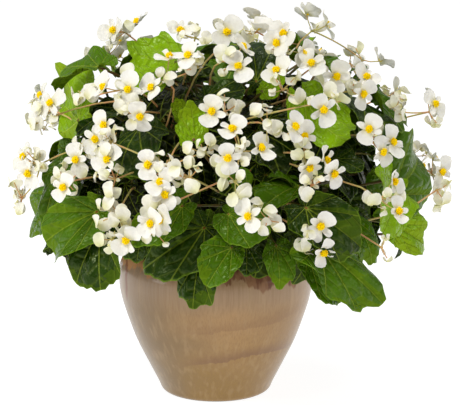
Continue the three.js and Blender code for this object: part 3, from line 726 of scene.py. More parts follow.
def glaze_finish():
    glaze = Finish("glaze", Coat_Roughness=0.08, IOR=1.5, Specular_IOR_Level=0.3)
    x, _, z = (glaze.node("SeparateXYZ", {}, {"Vector": glaze.spot()}, axis) for axis in (0, 1, 2))
    streaks = glaze.drawn(620, 9)
    wide_streaks = glaze.drawn(150, 5)
    clouds = glaze.drawn(14, 24, 3.0)
    ragged = glaze.drawn(240, 30, 3.0)
    body = glaze.mix(glaze.ease(z + clouds * 0.06, 0.05, 0.15), colour(149, 114, 51), colour(178, 138, 88))
    for where, low, high, strength, tint in (
        (clouds * 0.1 - x, 0.02, 0.14, 0.85, (116, 95, 62)),  # greyer to the left
        (x, 0.0, 0.1, 0.65, (144, 110, 64)),  # darker to the right
        (z + clouds * 0.03, 0.125, 0.165, 0.5, (168, 142, 118)),  # greyer under the shoulder
        (streaks, 0.4, 0.7, 0.3, (134, 100, 62)),
        (wide_streaks, 0.45, 0.75, 0.22, (190, 160, 116)),
    ):
        body = glaze.mix(glaze.ease(where, low, high) * strength, body, colour(*tint))
    for height, slope, bend, strength in COAT_LINES:
        over = z - x * slope - x * x * bend + ragged * 0.006 + clouds * 0.018 - 0.012
        above = glaze.ease(over, height, height + 0.0015)
        fading = 1 - glaze.ease(over, height + 0.0015, height + 0.02)
        across = glaze.ease(x, -0.06, 0.0) * (1 - glaze.ease(x, 0.07, 0.11) * 0.7)
        body = glaze.mix(above * fading * across * strength, body, colour(124, 86, 58))
    runs = glaze.drawn(60, 5)
    lower = glaze.ease(x, 0.02, 0.06) * 0.012
    bare_at = z + runs * 0.036 + ragged * 0.014 - 0.026 + lower
    bare = glaze.ease(bare_at, BARE_FROM - 0.002, BARE_FROM + 0.002)
    clay = glaze.mix(glaze.ease(wide_streaks, 0.35, 0.6), colour(96, 48, 26), colour(138, 96, 64))
    # Lighter, caramel clay to the left is painted light.
    clay = glaze.mix(glaze.ease(0.0 - x, 0.04, 0.09), clay, colour(190, 136, 80))
    body = glaze.mix(bare * 0.85, body, clay)
    off = (x + ragged * 0.004 - DRIP_AT).maths("ABSOLUTE")
    drip = (1 - glaze.ease(off, 0.0006, 0.0022)) * glaze.ease(z + ragged * 0.008, DRIP_TO, DRIP_TO + 0.012)
    body = glaze.mix(drip * 0.85, body, colour(126, 74, 34))
    # A dark line round the lowest two millimetres is painted shade, for the contact shadow where the pot
    # stands on the floor.
    body = glaze.mix(1 - glaze.ease(z, SHADE_LINE_TO * 0.6, SHADE_LINE_TO), body, colour(70, 50, 36))
    return glaze.wear(
        Base_Color=body,
        Roughness=0.28 + streaks * 0.14 + bare * 0.2,
        Coat_Weight=0.38 - bare * 0.25,
        Normal=glaze.bump(clouds + streaks * 0.1, 0.0012),
    )


GLAZE = glaze_finish()
print("finish:", GLAZE.name)

# %% [markdown]
# ## Green finishes
#
# A leaf carries numbers at its corners: how far each lies from joint to edge, how far from the nearest main
# vein, and how young the leaf is, where below zero it stands for painted shade. The finish turns them into
# colour: near-black painted shade for leaves deep inside, then dark green to yellow-green with youth,
# lighter on the veins and in a thin line along the rim, and red at the joint. Side veins leave each main
# vein in a slant: they are stripes of the first number less its product with the second, and the skin
# between them bulges.

# %% Leaf finishes
def leaf_finish(name, under):
    leaf = Finish(name, Specular_IOR_Level=0.1 if under else 0.25, Specular_Tint=(0.85, 1, 0.5, 1))
    share, aside, youth = (leaf.attribute(word) for word in ("share", "aside", "youth"))
    patches = leaf.noise(30.0, 3.0)
    mottle = leaf.noise(120.0, 2.0)
    # The first colour is near-black painted shade, for leaves deep inside whose youth is below zero.
    shade_black, old, middle, young = colour(4, 8, 1), colour(22, 45, 2), colour(70, 108, 1), colour(130, 170, 6)
    # The underside is paler green, and its greens are brighter still as painted light shining through the
    # leaf.
    if under:
        old, middle, young = colour(60, 82, 12), colour(90, 120, 8), colour(132, 162, 16)
    age_and_shade = youth + patches * 0.3 - 0.15
    body = shade_black
    for low, high, green in ((-0.4, 0.05, old), (0.05, 0.55, middle), (0.45, 1.0, young)):
        body = leaf.mix(leaf.ease(age_and_shade, low, high), body, green)
    blotch = leaf.mix(0.45, body, colour(14, 30, 2))
    body = leaf.mix(leaf.ease(mottle, 0.4, 0.75) * 0.4, body, blotch)
    main = 1 - leaf.ease(share * aside, 0.006, 0.022)
    slant = (((share - share * aside) * 30 + patches * 6).maths("SINE") * 0.5 + 0.5) ** 5
    veins = main * (0.7 - share * 0.4) + slant * 0.09
    veined = leaf.mix(veins, body, leaf.mix(0.6, body, colour(186, 206, 70)))
    rimmed = leaf.mix(leaf.ease(share + mottle * 0.03, 0.99, 1.015) * 0.38, veined, colour(134, 166, 40))
    skin = leaf.mix(1 - leaf.ease(share, 0.015, 0.05), rimmed, colour(120, 40, 20))
    relief = patches * 0.8 + mottle * 0.8 - main * 0.3 - slant * 0.34
    return leaf.wear(
        Base_Color=skin,
        Roughness=(0.5 if under else 0.17) + patches * 0.2,
        Normal=leaf.bump(relief, 0.003),
    )


LEAF, UNDERLEAF = leaf_finish("leaf", False), leaf_finish("leaf_under", True)
print("finishes:", LEAF.name, UNDERLEAF.name)

# %% [markdown]
# Canes and petioles are fleshy and green, with a red blush in patches. The flower stalks are thinner and
# a warm tan-pink.

# %% Stem finishes
def stem_finish(name, green, blush, amount):
    stem = Finish(name, Specular_IOR_Level=0.4)
    patches = stem.noise(45.0, 4.0)
    ribs = stem.drawn(900, 60)
    body = stem.mix(stem.ease(patches + ribs * 0.2, 0.45, 0.75) * amount, green, blush)
    return stem.wear(
        Base_Color=body,
        Roughness=0.35 + ribs * 0.3,
        Normal=stem.bump(ribs, 0.0003),
    )


CANE = stem_finish("cane", colour(84, 98, 30), colour(112, 62, 30), 0.7)
STALK = stem_finish("stalk", colour(196, 186, 106), colour(224, 156, 108), 0.85)
print("finishes:", CANE.name, STALK.name)

# %% [markdown]
# ## White finishes
#
# The petals are white with a cream-green breath towards their base, fine lines along them and a faint
# crumple. The closed flowers are cream. The stamens go from lemon to orange.

# %% Petal, bud and stamen finishes
def petal_finish(name, edge, base, spread, green):
    petal = Finish(name, Specular_IOR_Level=0.2, Subsurface_Weight=0.25, Subsurface_Scale=0.0025)
    petal.shader.inputs["Subsurface Radius"].default_value = (1, 0.95, 0.8)
    share = petal.attribute("share")
    crumple = petal.noise(170.0, 3.0)
    grain = petal.noise(620.0, 2.0)
    body = petal.mix(petal.ease(share + crumple * 0.3 - 0.15, 0.0, spread), base, edge)
    unripe = petal.ease(petal.noise(22.0, 1.0), 0.5, 0.68) * green
    body = petal.mix(unripe, body, petal.mix(0.5, body, colour(214, 218, 140)))
    return petal.wear(
        Base_Color=petal.mix(grain * 0.35, body, petal.mix(0.5, body, colour(206, 204, 176))),
        Roughness=0.45 + grain * 0.2,
        Normal=petal.bump(crumple + grain * 0.15, 0.0016),
    )


def stamen_finish():
    stamen = Finish("stamen", Specular_IOR_Level=0.08)
    grains = stamen.noise(300.0, 2.0)
    lemon, orange = colour(255, 222, 0), colour(252, 190, 0)
    return stamen.wear(
        Base_Color=stamen.mix(stamen.ease(grains, 0.5, 0.75), lemon, orange),
        Roughness=0.5 + grains * 0.2,
        Normal=stamen.bump(grains, 0.0004),
    )


PETAL = petal_finish("petal", colour(243, 240, 231), colour(222, 220, 170), 0.5, 0.15)
BUD = petal_finish("bud", colour(246, 242, 224), colour(222, 217, 158), 0.65, 0.8)
STAMEN = stamen_finish()
print("finishes:", PETAL.name, BUD.name, STAMEN.name)

# %% [markdown]
# ## Pieces
#
# Each piece is modelled in millimetres in a bmesh, from shapes that are added to it one at a time. A
# finished piece is scaled to metres and gets its finishes, and the solids in its place are hidden.

# %% From bmesh to piece
NUMBERS = ("share", "aside", "youth")
UPPER, UNDERSIDE, FLESH = range(3)  # the finishes of a leafy stem
WHITE, CREAM, YELLOW, TAN = range(4)  # the finishes of a spray


def add_to(whole, part, finish=0):
    """Puts a part, with one finish on all its faces, into the whole."""
    for face in part.faces:
        face.material_index += finish
        face.smooth = True
    mesh = bpy.data.meshes.new("part")
    part.to_mesh(mesh)
    part.free()
    whole.from_mesh(mesh)
    bpy.data.meshes.remove(mesh)


def empty_shape():
    shape = bmesh.new()
    for name in NUMBERS:
        shape.verts.layers.float.new(name)
    return shape


def finished_piece(name, shape, finishes, slot, *nodes, sharp=50):
    bmesh.ops.scale(shape, vec=(MM, MM, MM), verts=shape.verts)
    mesh = bpy.data.meshes.new(name)
    shape.to_mesh(mesh)
    shape.free()
    mesh.set_sharp_from_angle(angle=math.radians(sharp))
    for finish in finishes:
        mesh.materials.append(finish)
    piece = bpy.data.objects.new(name, mesh)
    bpy.context.collection.objects.link(piece)
    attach(piece, "root")
    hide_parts(*nodes)
    return piece


print("numbers kept at each corner:", NUMBERS)

# %% [markdown]
# ## The pot
#
# A pot is turned, so its profile is spun round Z. The profile is the solid's own, drawn finer: a closed
# loop up the outside, over the lip and down inside. The corners are rounded by running a smooth curve
# through them.

# %% Pot
POT_OUTER = [(0, 0), (60, 0), (64, 0.6), (68, 4), (72, 13), (84, 37), (99, 68), (112.5, 106), (118, 128),
             (119.5, 143), (119, 155), (117, 163), (112, 173), (108, 177), (105, 178), (102, 178)]
POT_INNER = [(99, 176), (98.6, 170), (105, 158), (111, 146), (105, 106), (77, 37), (62, 11), (0, 11)]
POT_SPOKES = 128


def smooth_profile(corners, pieces=4):
    """Points on a smooth curve through the corners of a profile."""
    points = []
    for k in range(len(corners) - 1):
        a, b = corners[max(0, k - 1)], corners[k]
        c, d = corners[k + 1], corners[min(len(corners) - 1, k + 2)]
        for step in range(pieces):
            t = step / pieces
            points.append(tuple(
                0.5 * (2 * b[i] + (c[i] - a[i]) * t + (2 * a[i] - 5 * b[i] + 4 * c[i] - d[i]) * t**2
                       + (3 * b[i] - a[i] - 3 * c[i] + d[i]) * t**3) for i in (0, 1)))
    return [*points, corners[-1]]


def spun(profile, spokes, weld=0.001):
    """A profile of radius and height, spun round Z. Corners closer than `weld` become one."""
    shape = empty_shape()
    corners = [shape.verts.new((max(0.0, radius), 0, height)) for radius, height in profile]
    edges = [shape.edges.new(pair) for pair in zip(corners, corners[1:])]
    bmesh.ops.spin(shape, geom=corners + edges, axis=SKY, cent=(0, 0, 0), angle=2 * math.pi, steps=spokes,
                   use_merge=True)
    bmesh.ops.remove_doubles(shape, verts=shape.verts, dist=weld)
    bmesh.ops.recalc_face_normals(shape, faces=shape.faces)
    return shape


pot_profile = [(0, 0), *smooth_profile(POT_OUTER[1:]), *smooth_profile(POT_INNER[:-1]), (0, 11)]
pot_whole = empty_shape()
add_to(pot_whole, spun(pot_profile, POT_SPOKES))
pot = finished_piece("glazed_pot", pot_whole, [GLAZE], "glaze", "pot")
print("pot faces:", len(pot.data.polygons))

# %% [markdown]
# ## Soil
#
# The solid of the soil already has the right shape, with its holes for the canes, so it stays and only
# gets a finish. Crumbs and bits of bark are strewn over it, because potting soil is never smooth.

# %% Soil and crumbs
def soil_finish():
    soil = Finish("soil", Specular_IOR_Level=0.2)
    clods = soil.noise(160.0, 6.0)
    specks = soil.noise(900.0, 2.0)
    body = soil.mix(soil.ease(clods, 0.35, 0.7), colour(30, 20, 14), colour(84, 60, 42))
    return soil.wear(
        Base_Color=soil.mix(soil.ease(specks, 0.62, 0.7) * 0.5, body, colour(150, 130, 104)),
        Roughness=0.85 + clods * 0.1,
        Normal=soil.bump(clods + specks * 0.3, 0.004),
    )


SOIL_TOP, CRUMBS, CRUMB_REACH = 158, 260, 100
SOIL = soil_finish()
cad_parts["soil"].data.materials.clear()
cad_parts["soil"].data.materials.append(SOIL)
crumb_whole = empty_shape()
throw = dice(41)
for k in range(CRUMBS):
    crumb = empty_shape()
    size = throw(1.2, 3.4)
    spin = Matrix.Rotation(throw(0, 6), 4, Vector((throw(-1, 1), throw(-1, 1), 1)))
    flat = Matrix.Diagonal((size, size * throw(0.5, 1), size * throw(0.4, 0.8), 1))
    reach = CRUMB_REACH * math.sqrt((k + 0.5) / CRUMBS)
    place = Matrix.Translation(heading(GOLDEN_TURN * k, 0) * reach + SKY * (SOIL_TOP + size * 0.3))
    bmesh.ops.create_icosphere(crumb, subdivisions=1, radius=1, matrix=place @ spin @ flat)
    add_to(crumb_whole, crumb)
crumbs = finished_piece("soil_crumbs", crumb_whole, [SOIL], "soil", sharp=20)
print("crumbs:", CRUMBS, "faces:", len(crumbs.data.polygons))

# %% [markdown]
# ## Tubes
#
# A stem is a circle pushed along its middle line: it is extruded a step, and the new ring is moved, turned
# and scaled to the next station. That needs no list of corners, and it gives a clean round tube.

# %% Tube
def tube(points, radii, sides):
    shape = empty_shape()
    last = len(points) - 1
    ahead = (points[1] - points[0]).normalized()
    stand = Matrix.Translation(points[0]) @ ahead.to_track_quat("Z", "Y").to_matrix().to_4x4()
    bmesh.ops.create_circle(shape, cap_ends=True, radius=radii[0], segments=sides, matrix=stand)
    ring = list(shape.edges)
    for k in range(1, last + 1):
        onward = (points[min(k + 1, last)] - points[k - 1]).normalized()
        bent = ahead.rotation_difference(onward).to_matrix().to_4x4()
        scaled = Matrix.Scale(radii[k] / radii[k - 1], 4)
        step = Matrix.Translation(points[k]) @ scaled @ bent @ Matrix.Translation(-points[k - 1])
        made = bmesh.ops.extrude_edge_only(shape, edges=ring)["geom"]
        corners = {part for part in made if isinstance(part, bmesh.types.BMVert)}
        edges = (part for part in made if isinstance(part, bmesh.types.BMEdge))
        ring = [edge for edge in edges if corners.issuperset(edge.verts)]
        bmesh.ops.transform(shape, matrix=step, verts=list(corners))
        ahead = onward
    bmesh.ops.edgeloop_fill(shape, edges=ring)
    bmesh.ops.recalc_face_normals(shape, faces=shape.faces)
    return shape


CANE_STATIONS, CANE_FOOT, CANE_TIP, SWELLING = 28, 5.0, 3.6, 1.16


def cane_shape(bend):
    """A cane, swollen at each node and thinner towards its tip."""
    shares = [k / CANE_STATIONS for k in range(CANE_STATIONS + 1)]
    swollen = [SWELLING if k % 4 == 2 else 1 for k in range(CANE_STATIONS + 1)]
    radii = [lerp(CANE_FOOT, CANE_TIP, share) * more for share, more in zip(shares, swollen)]
    return tube([bend.along(share) for share in shares], radii, 12)


print("a cane is", round(CANES[0].lengths[-1]), "mm long")

# %% [markdown]
# ## Discs
#
# Leaves and petals start as the same thing: a flat disc of rings and spokes, made by spinning a row of
# corners. Its corners keep their distance and angle from the middle, so the disc can be drawn out to any
# outline and bent to any surface. The solidify operator then gives it its thickness.

# %% Disc
LEAF_RINGS, LEAF_SPOKES = [0, 0.06, 0.16, 0.3, 0.44, 0.57, 0.69, 0.8, 0.89, 0.95, 1], 72
PETAL_RINGS, PETAL_SPOKES = [0, 0.62, 1], 14


def disc(rings, spokes):
    shape = spun([(radius, 0) for radius in rings], spokes, weld=1e-5)
    if sum(face.normal.z for face in shape.faces) < 0:
        bmesh.ops.reverse_faces(shape, faces=shape.faces)
    return shape


LEAF_DISC, PETAL_DISC = disc(LEAF_RINGS, LEAF_SPOKES), disc(PETAL_RINGS, PETAL_SPOKES)
print("leaf disc:", len(LEAF_DISC.faces), "faces, petal disc:", len(PETAL_DISC.faces))

# %% [markdown]
# ## Blades
#
# The edge of a begonia leaf is a broad, wavy oval, drawn in a little here and there between the main veins,
# with small uneven teeth all along. Between the veins the blade puffs up, and its edge waves, which breaks
# the light into streaks from joint to rim. All of this is added to the surface of the solid leaf.

# %% Blade
VEINS = [math.radians(a) for a in (-180, -135, -100, -60, -30, 0, 30, 60, 100, 135, 180)]
LOBE_OUT, BAY, TOOTH_DEPTH, BLADE_THICK = 0.02, (-0.02, 0.12), 0.018, 0.8
WAVER, WAVERS = 0.045, 5  # how far the outline swings in and out, and how often
BREADTH, FOLDED = (0.7, 0.94), (0.0, 0.35)  # how broad a blade is, and how far its halves fold up
PUFF, RUFFLE, RUFFLES, CURL = 0.1, 0.055, 7, 0.12
BLADE_SEED = 900


def between_veins(turn):
    """Which stretch this is, the angle to its nearer vein, and a number that is 1 midway and 0 at both."""
    k = next(k for k in range(len(VEINS) - 1) if turn <= VEINS[k + 1] + 1e-6)
    across = max(0.0, min(1.0, (turn - VEINS[k]) / (VEINS[k + 1] - VEINS[k])))
    return k, min(turn - VEINS[k], VEINS[k + 1] - turn), math.sin(math.pi * across)


def blade_shape(leaf, seed):
    blade = LEAF_DISC.copy()
    share_at, aside_at, youth_at = (blade.verts.layers.float[name] for name in NUMBERS)
    throw = dice(seed + BLADE_SEED)
    bays = [throw(*BAY) for _ in VEINS]
    teeth = [throw(-1, 1) + (k % 2) for k in range(LEAF_SPOKES)]
    ruffle_phase, waver_phase = throw(0, 2 * math.pi), throw(0, 2 * math.pi)
    curl, breadth, folded = throw(-0.3, 1) * CURL, throw(*BREADTH) * leaf.girth, throw(*FOLDED)
    for corner in blade.verts:
        share = corner.co.length
        turn = math.atan2(corner.co.y, corner.co.x)
        stretch, to_vein, mid = between_veins(turn)
        tooth = teeth[round(turn / (2 * math.pi) * LEAF_SPOKES) % LEAF_SPOKES]
        cut = 1 + share * (LOBE_OUT - (bays[stretch] + LOBE_OUT) * mid**2)
        cut += share**2 * WAVER * math.sin(WAVERS * turn + waver_phase) + TOOTH_DEPTH * share**8 * tooth
        reach = share * leaf.edge(turn) * cut
        along, aside = reach * math.cos(turn), reach * math.sin(turn) * breadth
        rise = leaf.rise(along, aside, turn, share)
        rise += folded * creased(aside)
        rise += PUFF * mid * reach * (1.25 - share)
        rise += RUFFLE * share**3 * math.sin(RUFFLES * turn + ruffle_phase) - curl * share**3 * reach**2
        corner.co = leaf.place(along, aside, rise)
        corner[share_at], corner[aside_at], corner[youth_at] = share, max(0.0, to_vein), leaf.youth
    bmesh.ops.solidify(blade, geom=blade.faces[:], thickness=BLADE_THICK)
    blade.normal_update()
    for face in blade.faces:
        face.material_index = UPPER if face.normal.dot(leaf.normal) > 0 else UNDERSIDE
    return blade


PETIOLE_RADII = [2.0, 1.7, 1.5, 1.45, 1.5, 1.9]  # thicker at both ends


def petiole_shape(leaf):
    """The stalk of a leaf, from its cane to its joint, which it meets from below."""
    below = leaf.joint - leaf.normal * 0.5
    elbow = leaf.start.lerp(below, 0.7) - leaf.normal * 2
    bend = Bend(leaf.start, elbow, below)
    last = len(PETIOLE_RADII) - 1
    return tube([bend.along(k / last) for k in range(last + 1)], PETIOLE_RADII, 8)


print("veins at", [round(math.degrees(vein)) for vein in VEINS])

# %% [markdown]
# Deeper in, where the solids leave room, a real plant has more leaves that never see the sun. They fill
# the dark between the outer ones, and are coloured near-black as painted shade. Each hangs on the nearest
# cane.

# %% Inner leaves
INNER_COUNT, INNER_TOP, INNER_LOW, INNER_SEED = 120, 0.96, -0.02, 5000
INNER_LENGTH, INNER_FROM, INNER_TO = (46, 70), 0.66, 0.84  # depths, as shares of the dome's radius


def inner_leaf(k):
    throw = dice(k + INNER_SEED)
    height = lerp(INNER_TOP, INNER_LOW, (k + 0.5) / INNER_COUNT)
    outward = heading(GOLDEN_TURN * k + 1, height)
    middle = DOME_CENTRE + outward * (DOME_RADIUS * throw(INNER_FROM, INNER_TO + 0.07 * max(0, height)))
    course = turned(squared(-SKY, outward), outward, throw(-1.5, 1.5))
    length = throw(*INNER_LENGTH)
    joint = middle - course * (length / 2) - outward * 10
    normal = (outward + SKY * 0.4).normalized()
    leaf = Leaf(joint, middle + course * (length / 2), normal, throw(-0.5, 0.5), throw)
    leaf.cane, leaf.start = bud_point(joint - outward * BUD_UNDER, 0, throw)
    leaf.node = f"leafy_stem_{leaf.cane + 1:02d}"
    # A youth below zero gives these leaves the near-black of painted shade.
    leaf.youth = throw(-0.45, 0.1)
    return leaf


INNER_LEAVES = [inner_leaf(k) for k in range(INNER_COUNT)]
print("inner leaves:", len(INNER_LEAVES))

# %% [markdown]
# ## Leafy stems
#
# A leafy stem is one living piece: a cane, its petioles and their blades. The parts could be objects of
# their own, but then the plant would be some four hundred of them, so each stem is gathered in one bmesh.

# %% Leafy stems
for number, bend in enumerate(CANES):
    node = f"leafy_stem_{number + 1:02d}"
    stem = empty_shape()
    add_to(stem, cane_shape(bend), FLESH)
    for seed, leaf in enumerate(LEAVES + INNER_LEAVES):
        if leaf.node == node:
            add_to(stem, blade_shape(leaf, seed))
            add_to(stem, petiole_shape(leaf), FLESH)
    piece = finished_piece(f"foliage_{number + 1:02d}", stem, [LEAF, UNDERLEAF, CANE], "foliage", node)
    print(piece.name, "faces:", len(piece.data.polygons))

# %% [markdown]
# ## Petals
#
# An open flower has two broad petals above and below, two narrow ones at the sides, and a knob of stamens.
# A petal is the small disc drawn out to an egg shape, cupped, and given its thickness. The knob is a ball
# of beads.

# %% Petals and stamens
BROAD, NARROW = (1.07, 1.46), (0.88, 0.54)  # length and width, as shares of the flower's size
UPTURN = 0.3  # how much more the petals of a flower that faces the sky are raised
PETAL_THICK, WAIST, SHELL_WAIST = 0.45, 0.42, 0.78  # the waist is the width at the base
BEADS, KNOB_UP, BEAD_OUT, BEAD_HALF = 26, 2.4, (3.0, 4.1), (1.15, 1.15, 1.5)
CORE_UP, CORE_RADIUS = 2.0, 3.0
SHELL_LONG, SHELL_WIDE, SHELL_CUP, PARTING = (0.84, 0.98), (0.8, 0.98), -0.35, (0.05, 0.75)


def petal_shape(length, width, cup, throw, waist=WAIST):
    """A petal along X from its base at the origin, with its cup opening to +Z."""
    petal = PETAL_DISC.copy()
    share_at = petal.verts.layers.float["share"]
    phase, ruffle, skew = throw(0, 6), throw(0.03, 0.11) * length, throw(-0.16, 0.16)
    for corner in petal.verts:
        turn = math.atan2(corner.co.y, corner.co.x)
        along = (corner.co.x + 1) / 2
        across = corner.co.y * lerp(waist, 1, along**0.7) + skew * along
        rise = length * (0.3 * cup * along * along + 0.16 * across * across)
        rise += ruffle * corner.co.length**2 * math.sin(3 * turn + phase)
        corner[share_at] = along
        corner.co = (along * length, across * width / 2, rise)
    bmesh.ops.solidify(petal, geom=petal.faces[:], thickness=PETAL_THICK)
    return petal


def knob_shape(throw):
    """A dome of beads round a core ball."""
    knob = empty_shape()
    for k in range(BEADS):
        away = heading(GOLDEN_TURN * k, lerp(1, -0.1, k / BEADS))
        place = Matrix.Translation(SKY * KNOB_UP + away * throw(*BEAD_OUT))
        stand = away.to_track_quat("Z", "Y").to_matrix().to_4x4()
        bead = place @ stand @ Matrix.Diagonal((*BEAD_HALF, 1))
        bmesh.ops.create_icosphere(knob, subdivisions=1, radius=1, matrix=bead)
    core = Matrix.Translation(SKY * CORE_UP)
    bmesh.ops.create_icosphere(knob, subdivisions=1, radius=CORE_RADIUS, matrix=core)
    return knob


print("beads in a knob:", BEADS)

# %% [markdown]
# A flower is put together round its own axes and then stood in its place on the head, so that one recipe
# serves whichever way it faces. A closed flower is two round petals hinged like a shell: they can then part
# a little, each by another angle, as real ones do.

# %% Open and closed flowers
def stood(place, *axes):
    """Stands a shape at a place, with its X, Y and Z along three axes."""
    return Matrix.Translation(place) @ Matrix(axes).transposed().to_4x4()


def stand_on(flower):
    return stood(flower.centre, flower.petal, flower.side, flower.facing)


def add_petal(spray, finish, stand, turn, hinge, petal):
    """Adds a petal, turned round the flower and raised about its base."""
    raised = Matrix.Rotation(turn, 4, SKY) @ Matrix.Rotation(-hinge, 4, Vector((0, 1, 0)))
    bmesh.ops.transform(petal, matrix=stand @ raised, verts=petal.verts)
    add_to(spray, petal, finish)


def add_open_flower(spray, flower, throw):
    stand = stand_on(flower)
    upturn = UPTURN * max(0.0, flower.facing.z - 0.5)
    for quarter in range(4):
        length, width = NARROW if quarter % 2 else BROAD
        size = flower.size * throw(0.92, 1.06)
        petal = petal_shape(length * size, width * size, flower.cup * 0.5 + throw(-0.5, 0.6), throw)
        turn = quarter * math.pi / 2 + throw(-0.15, 0.15)
        hinge = upturn + (throw(-0.1, 0.35) if quarter % 2 else throw(-0.15, 0.5))
        add_petal(spray, WHITE, stand, turn, hinge, petal)
    knob = knob_shape(throw)
    bmesh.ops.transform(knob, matrix=stand, verts=knob.verts)
    add_to(spray, knob, YELLOW)


def add_closed_flower(spray, flower, throw):
    """Two round petals, hinged at one side like a shell, that are still closed or part a little."""
    stand = stand_on(flower) @ Matrix.Translation((-flower.size, 0, 0))
    opening = throw(*PARTING)
    over = Matrix.Rotation(math.pi, 3, RIGHT)
    for side in (1, -1):
        length = 2 * flower.size * throw(*SHELL_LONG)
        petal = petal_shape(length, length * throw(*SHELL_WIDE), SHELL_CUP, throw, SHELL_WAIST)
        if side < 0:
            bmesh.ops.rotate(petal, verts=petal.verts, cent=(0, 0, 0), matrix=over)
        add_petal(spray, CREAM, stand, throw(-0.12, 0.12), side * (0.12 + opening), petal)


print("broad petals:", BROAD, "narrow ones:", NARROW)

# %% [markdown]
# Real heads are crowded. Round the flowers of the solids come more closed ones and small round buds, and
# here and there a hanging female flower with its three-winged seed case. Each is thrown until it is clear
# of the flowers already there.

# %% More buds on each head
EXTRA_BUDS, LEFT_BUDS, LEFT_OF = 3, 6, -150  # for each head, and for each of those at the far left
BUD_LEAN, BUD_PEDICEL, BUD_SIZE, BUD_TRIES = (0.1, 1.75), (9, 22), (5, 10), 6
BUD_OVER = 8  # a bud that would have to bow lower than this has no place
CROWDING, OPEN_ROOM = 0.8, 0.62  # how near flowers stand, and how much of an open one's size is in the way


class ExtraBud(Bloom):
    def __init__(self, head, turn, lean, length, size, throw):
        aim = leaning(head.outward, turn, lean).normalized()
        self.centre, self.size = head.point + aim * length, size
        self.face(aim + stray(throw) * 0.7 + head.outward * 0.4, throw(-3, 3))


def extra_buds(head, flowers, throw):
    made = []
    wanted = 0 if head.dry else LEFT_BUDS if head.point.x < LEFT_OF else EXTRA_BUDS
    for _ in range(wanted * BUD_TRIES):
        turn = throw(0, 2 * math.pi)
        bud = ExtraBud(head, turn, throw(*BUD_LEAN), throw(*BUD_PEDICEL), throw(*BUD_SIZE), throw)
        others = [(f.centre, OPEN_ROOM * f.size if f.open else f.size) for f in flowers]
        others += [(b.centre, b.size) for b in made]
        clear = all((bud.centre - c).length > CROWDING * (bud.size + r) for c, r in others)
        if clear and (bud.centre - lowered(bud.centre)).length < BUD_OVER:
            made.append(bud)
        if len(made) == wanted:
            break
    return made


def add_seed_case(spray, bud):
    """The three-winged case behind a female flower."""
    stand = stand_on(bud) @ Matrix.Translation((0, 0, -bud.size * 0.75))
    case = empty_shape()
    bmesh.ops.create_cone(case, cap_ends=True, segments=3, radius1=bud.size * 0.2,
                          radius2=bud.size * 0.62, depth=bud.size * 1.1, matrix=stand)
    bmesh.ops.bevel(case, geom=case.edges[:], offset=bud.size * 0.1, offset_type="OFFSET", segments=2,
                    profile=0.5, affect="EDGES", material=-1)
    add_to(spray, case, CREAM)


print("extra buds on a head: up to", EXTRA_BUDS, "and at the far left", LEFT_BUDS)

# %% [markdown]
# ## Stalks and heads
#
# A head is a knuckle with two papery bracts, from which thin pedicels carry the flowers. Stalks and
# pedicels are tubes, and a bract is a small petal that stands beside the knuckle, so nothing here needs a
# new kind of shape.

# %% Stalks and heads
STALK_PIECES, STALK_THICK, FORK_THICK, STALK_TAPER = 8, 1.15, 0.9, (1.15, 0.85)
PEDICEL_THICK, BUD_PEDICEL_THICK, DROOP = 0.65, 0.6, 0.06
BRACT_LENGTH, KNUCKLE_RADIUS, FLOWER_BACK = (7, 10), 1.9, 2.2


def stalk_shape(bend, thick):
    shares = [k / STALK_PIECES for k in range(STALK_PIECES + 1)]
    radii = [thick * lerp(*STALK_TAPER, share) for share in shares]
    return tube([bend.along(share) for share in shares], radii, 8)


def pedicel_shape(head, end, thick):
    """From the knuckle to the back of a flower, with a slight droop."""
    middle = head.point.lerp(end, 0.5) - SKY * ((end - head.point).length * DROOP)
    return tube([head.point, middle, end], [thick * 1.2, thick, thick * 1.1], 6)


def bract_shape(head, turn, throw):
    length = throw(*BRACT_LENGTH)
    bract = petal_shape(length, length * 0.6, 0.4, throw)
    axis = (round_about(head.outward, turn) + head.outward * 0.3).normalized()
    normal = squared(head.outward, axis)
    stand = stood(head.point, axis, normal.cross(axis), normal)
    bmesh.ops.transform(bract, matrix=stand, verts=bract.verts)
    return bract


def add_head(spray, head, flowers, throw):
    for flower in flowers:
        add = add_open_flower if flower.open else add_closed_flower
        add(spray, flower, throw)
        back = flower.centre - flower.facing * (FLOWER_BACK * 0.4)
        add_to(spray, pedicel_shape(head, back, PEDICEL_THICK), TAN)
    for k, bud in enumerate(extra_buds(head, flowers, throw)):
        add_closed_flower(spray, bud, throw)
        if k % 3 == 1 and bud.size > 6:
            add_seed_case(spray, bud)
        add_to(spray, pedicel_shape(head, bud.centre, BUD_PEDICEL_THICK), TAN)
    turn = throw(0, 6)
    for half in (0, math.pi):
        add_to(spray, bract_shape(head, turn + half, throw), CREAM)
    knuckle, place = empty_shape(), Matrix.Translation(head.point)
    bmesh.ops.create_icosphere(knuckle, subdivisions=2, radius=KNUCKLE_RADIUS, matrix=place)
    add_to(spray, knuckle, TAN)


print("a stalk is", 2 * STALK_THICK, "mm thick, and a fork", 2 * FORK_THICK)

# %% [markdown]
# No two heads on a real plant have fared alike. Where the solids found no room for an open flower, it is
# grown again here, on the head that it belongs to. One head comes forward a little, out of the leaves that
# would hide it, and one is a small sprig that is drying up.

# %% Heads that have fared differently
FORWARD = {33: MOST_MOVED}
WITHERED, SHRUNK = {34}, 0.5
REGROW_TRIES, FLOWER_GAP = 60, 22


def regrown(head, flowers, seed):
    """Open flowers of a head whose solids found no room, thrown until they are clear of the others."""
    grown_again = list(flowers)
    for attempt in range(REGROW_TRIES):
        short = head.open - sum(flower.open for flower in grown_again)
        flower = Flower(head, max(0, short - 1), dice(seed + 17 * attempt))
        clear = all((flower.centre - other.centre).length > FLOWER_GAP for other in grown_again)
        if short > 0 and clear:
            grown_again.append(flower)
    return grown_again


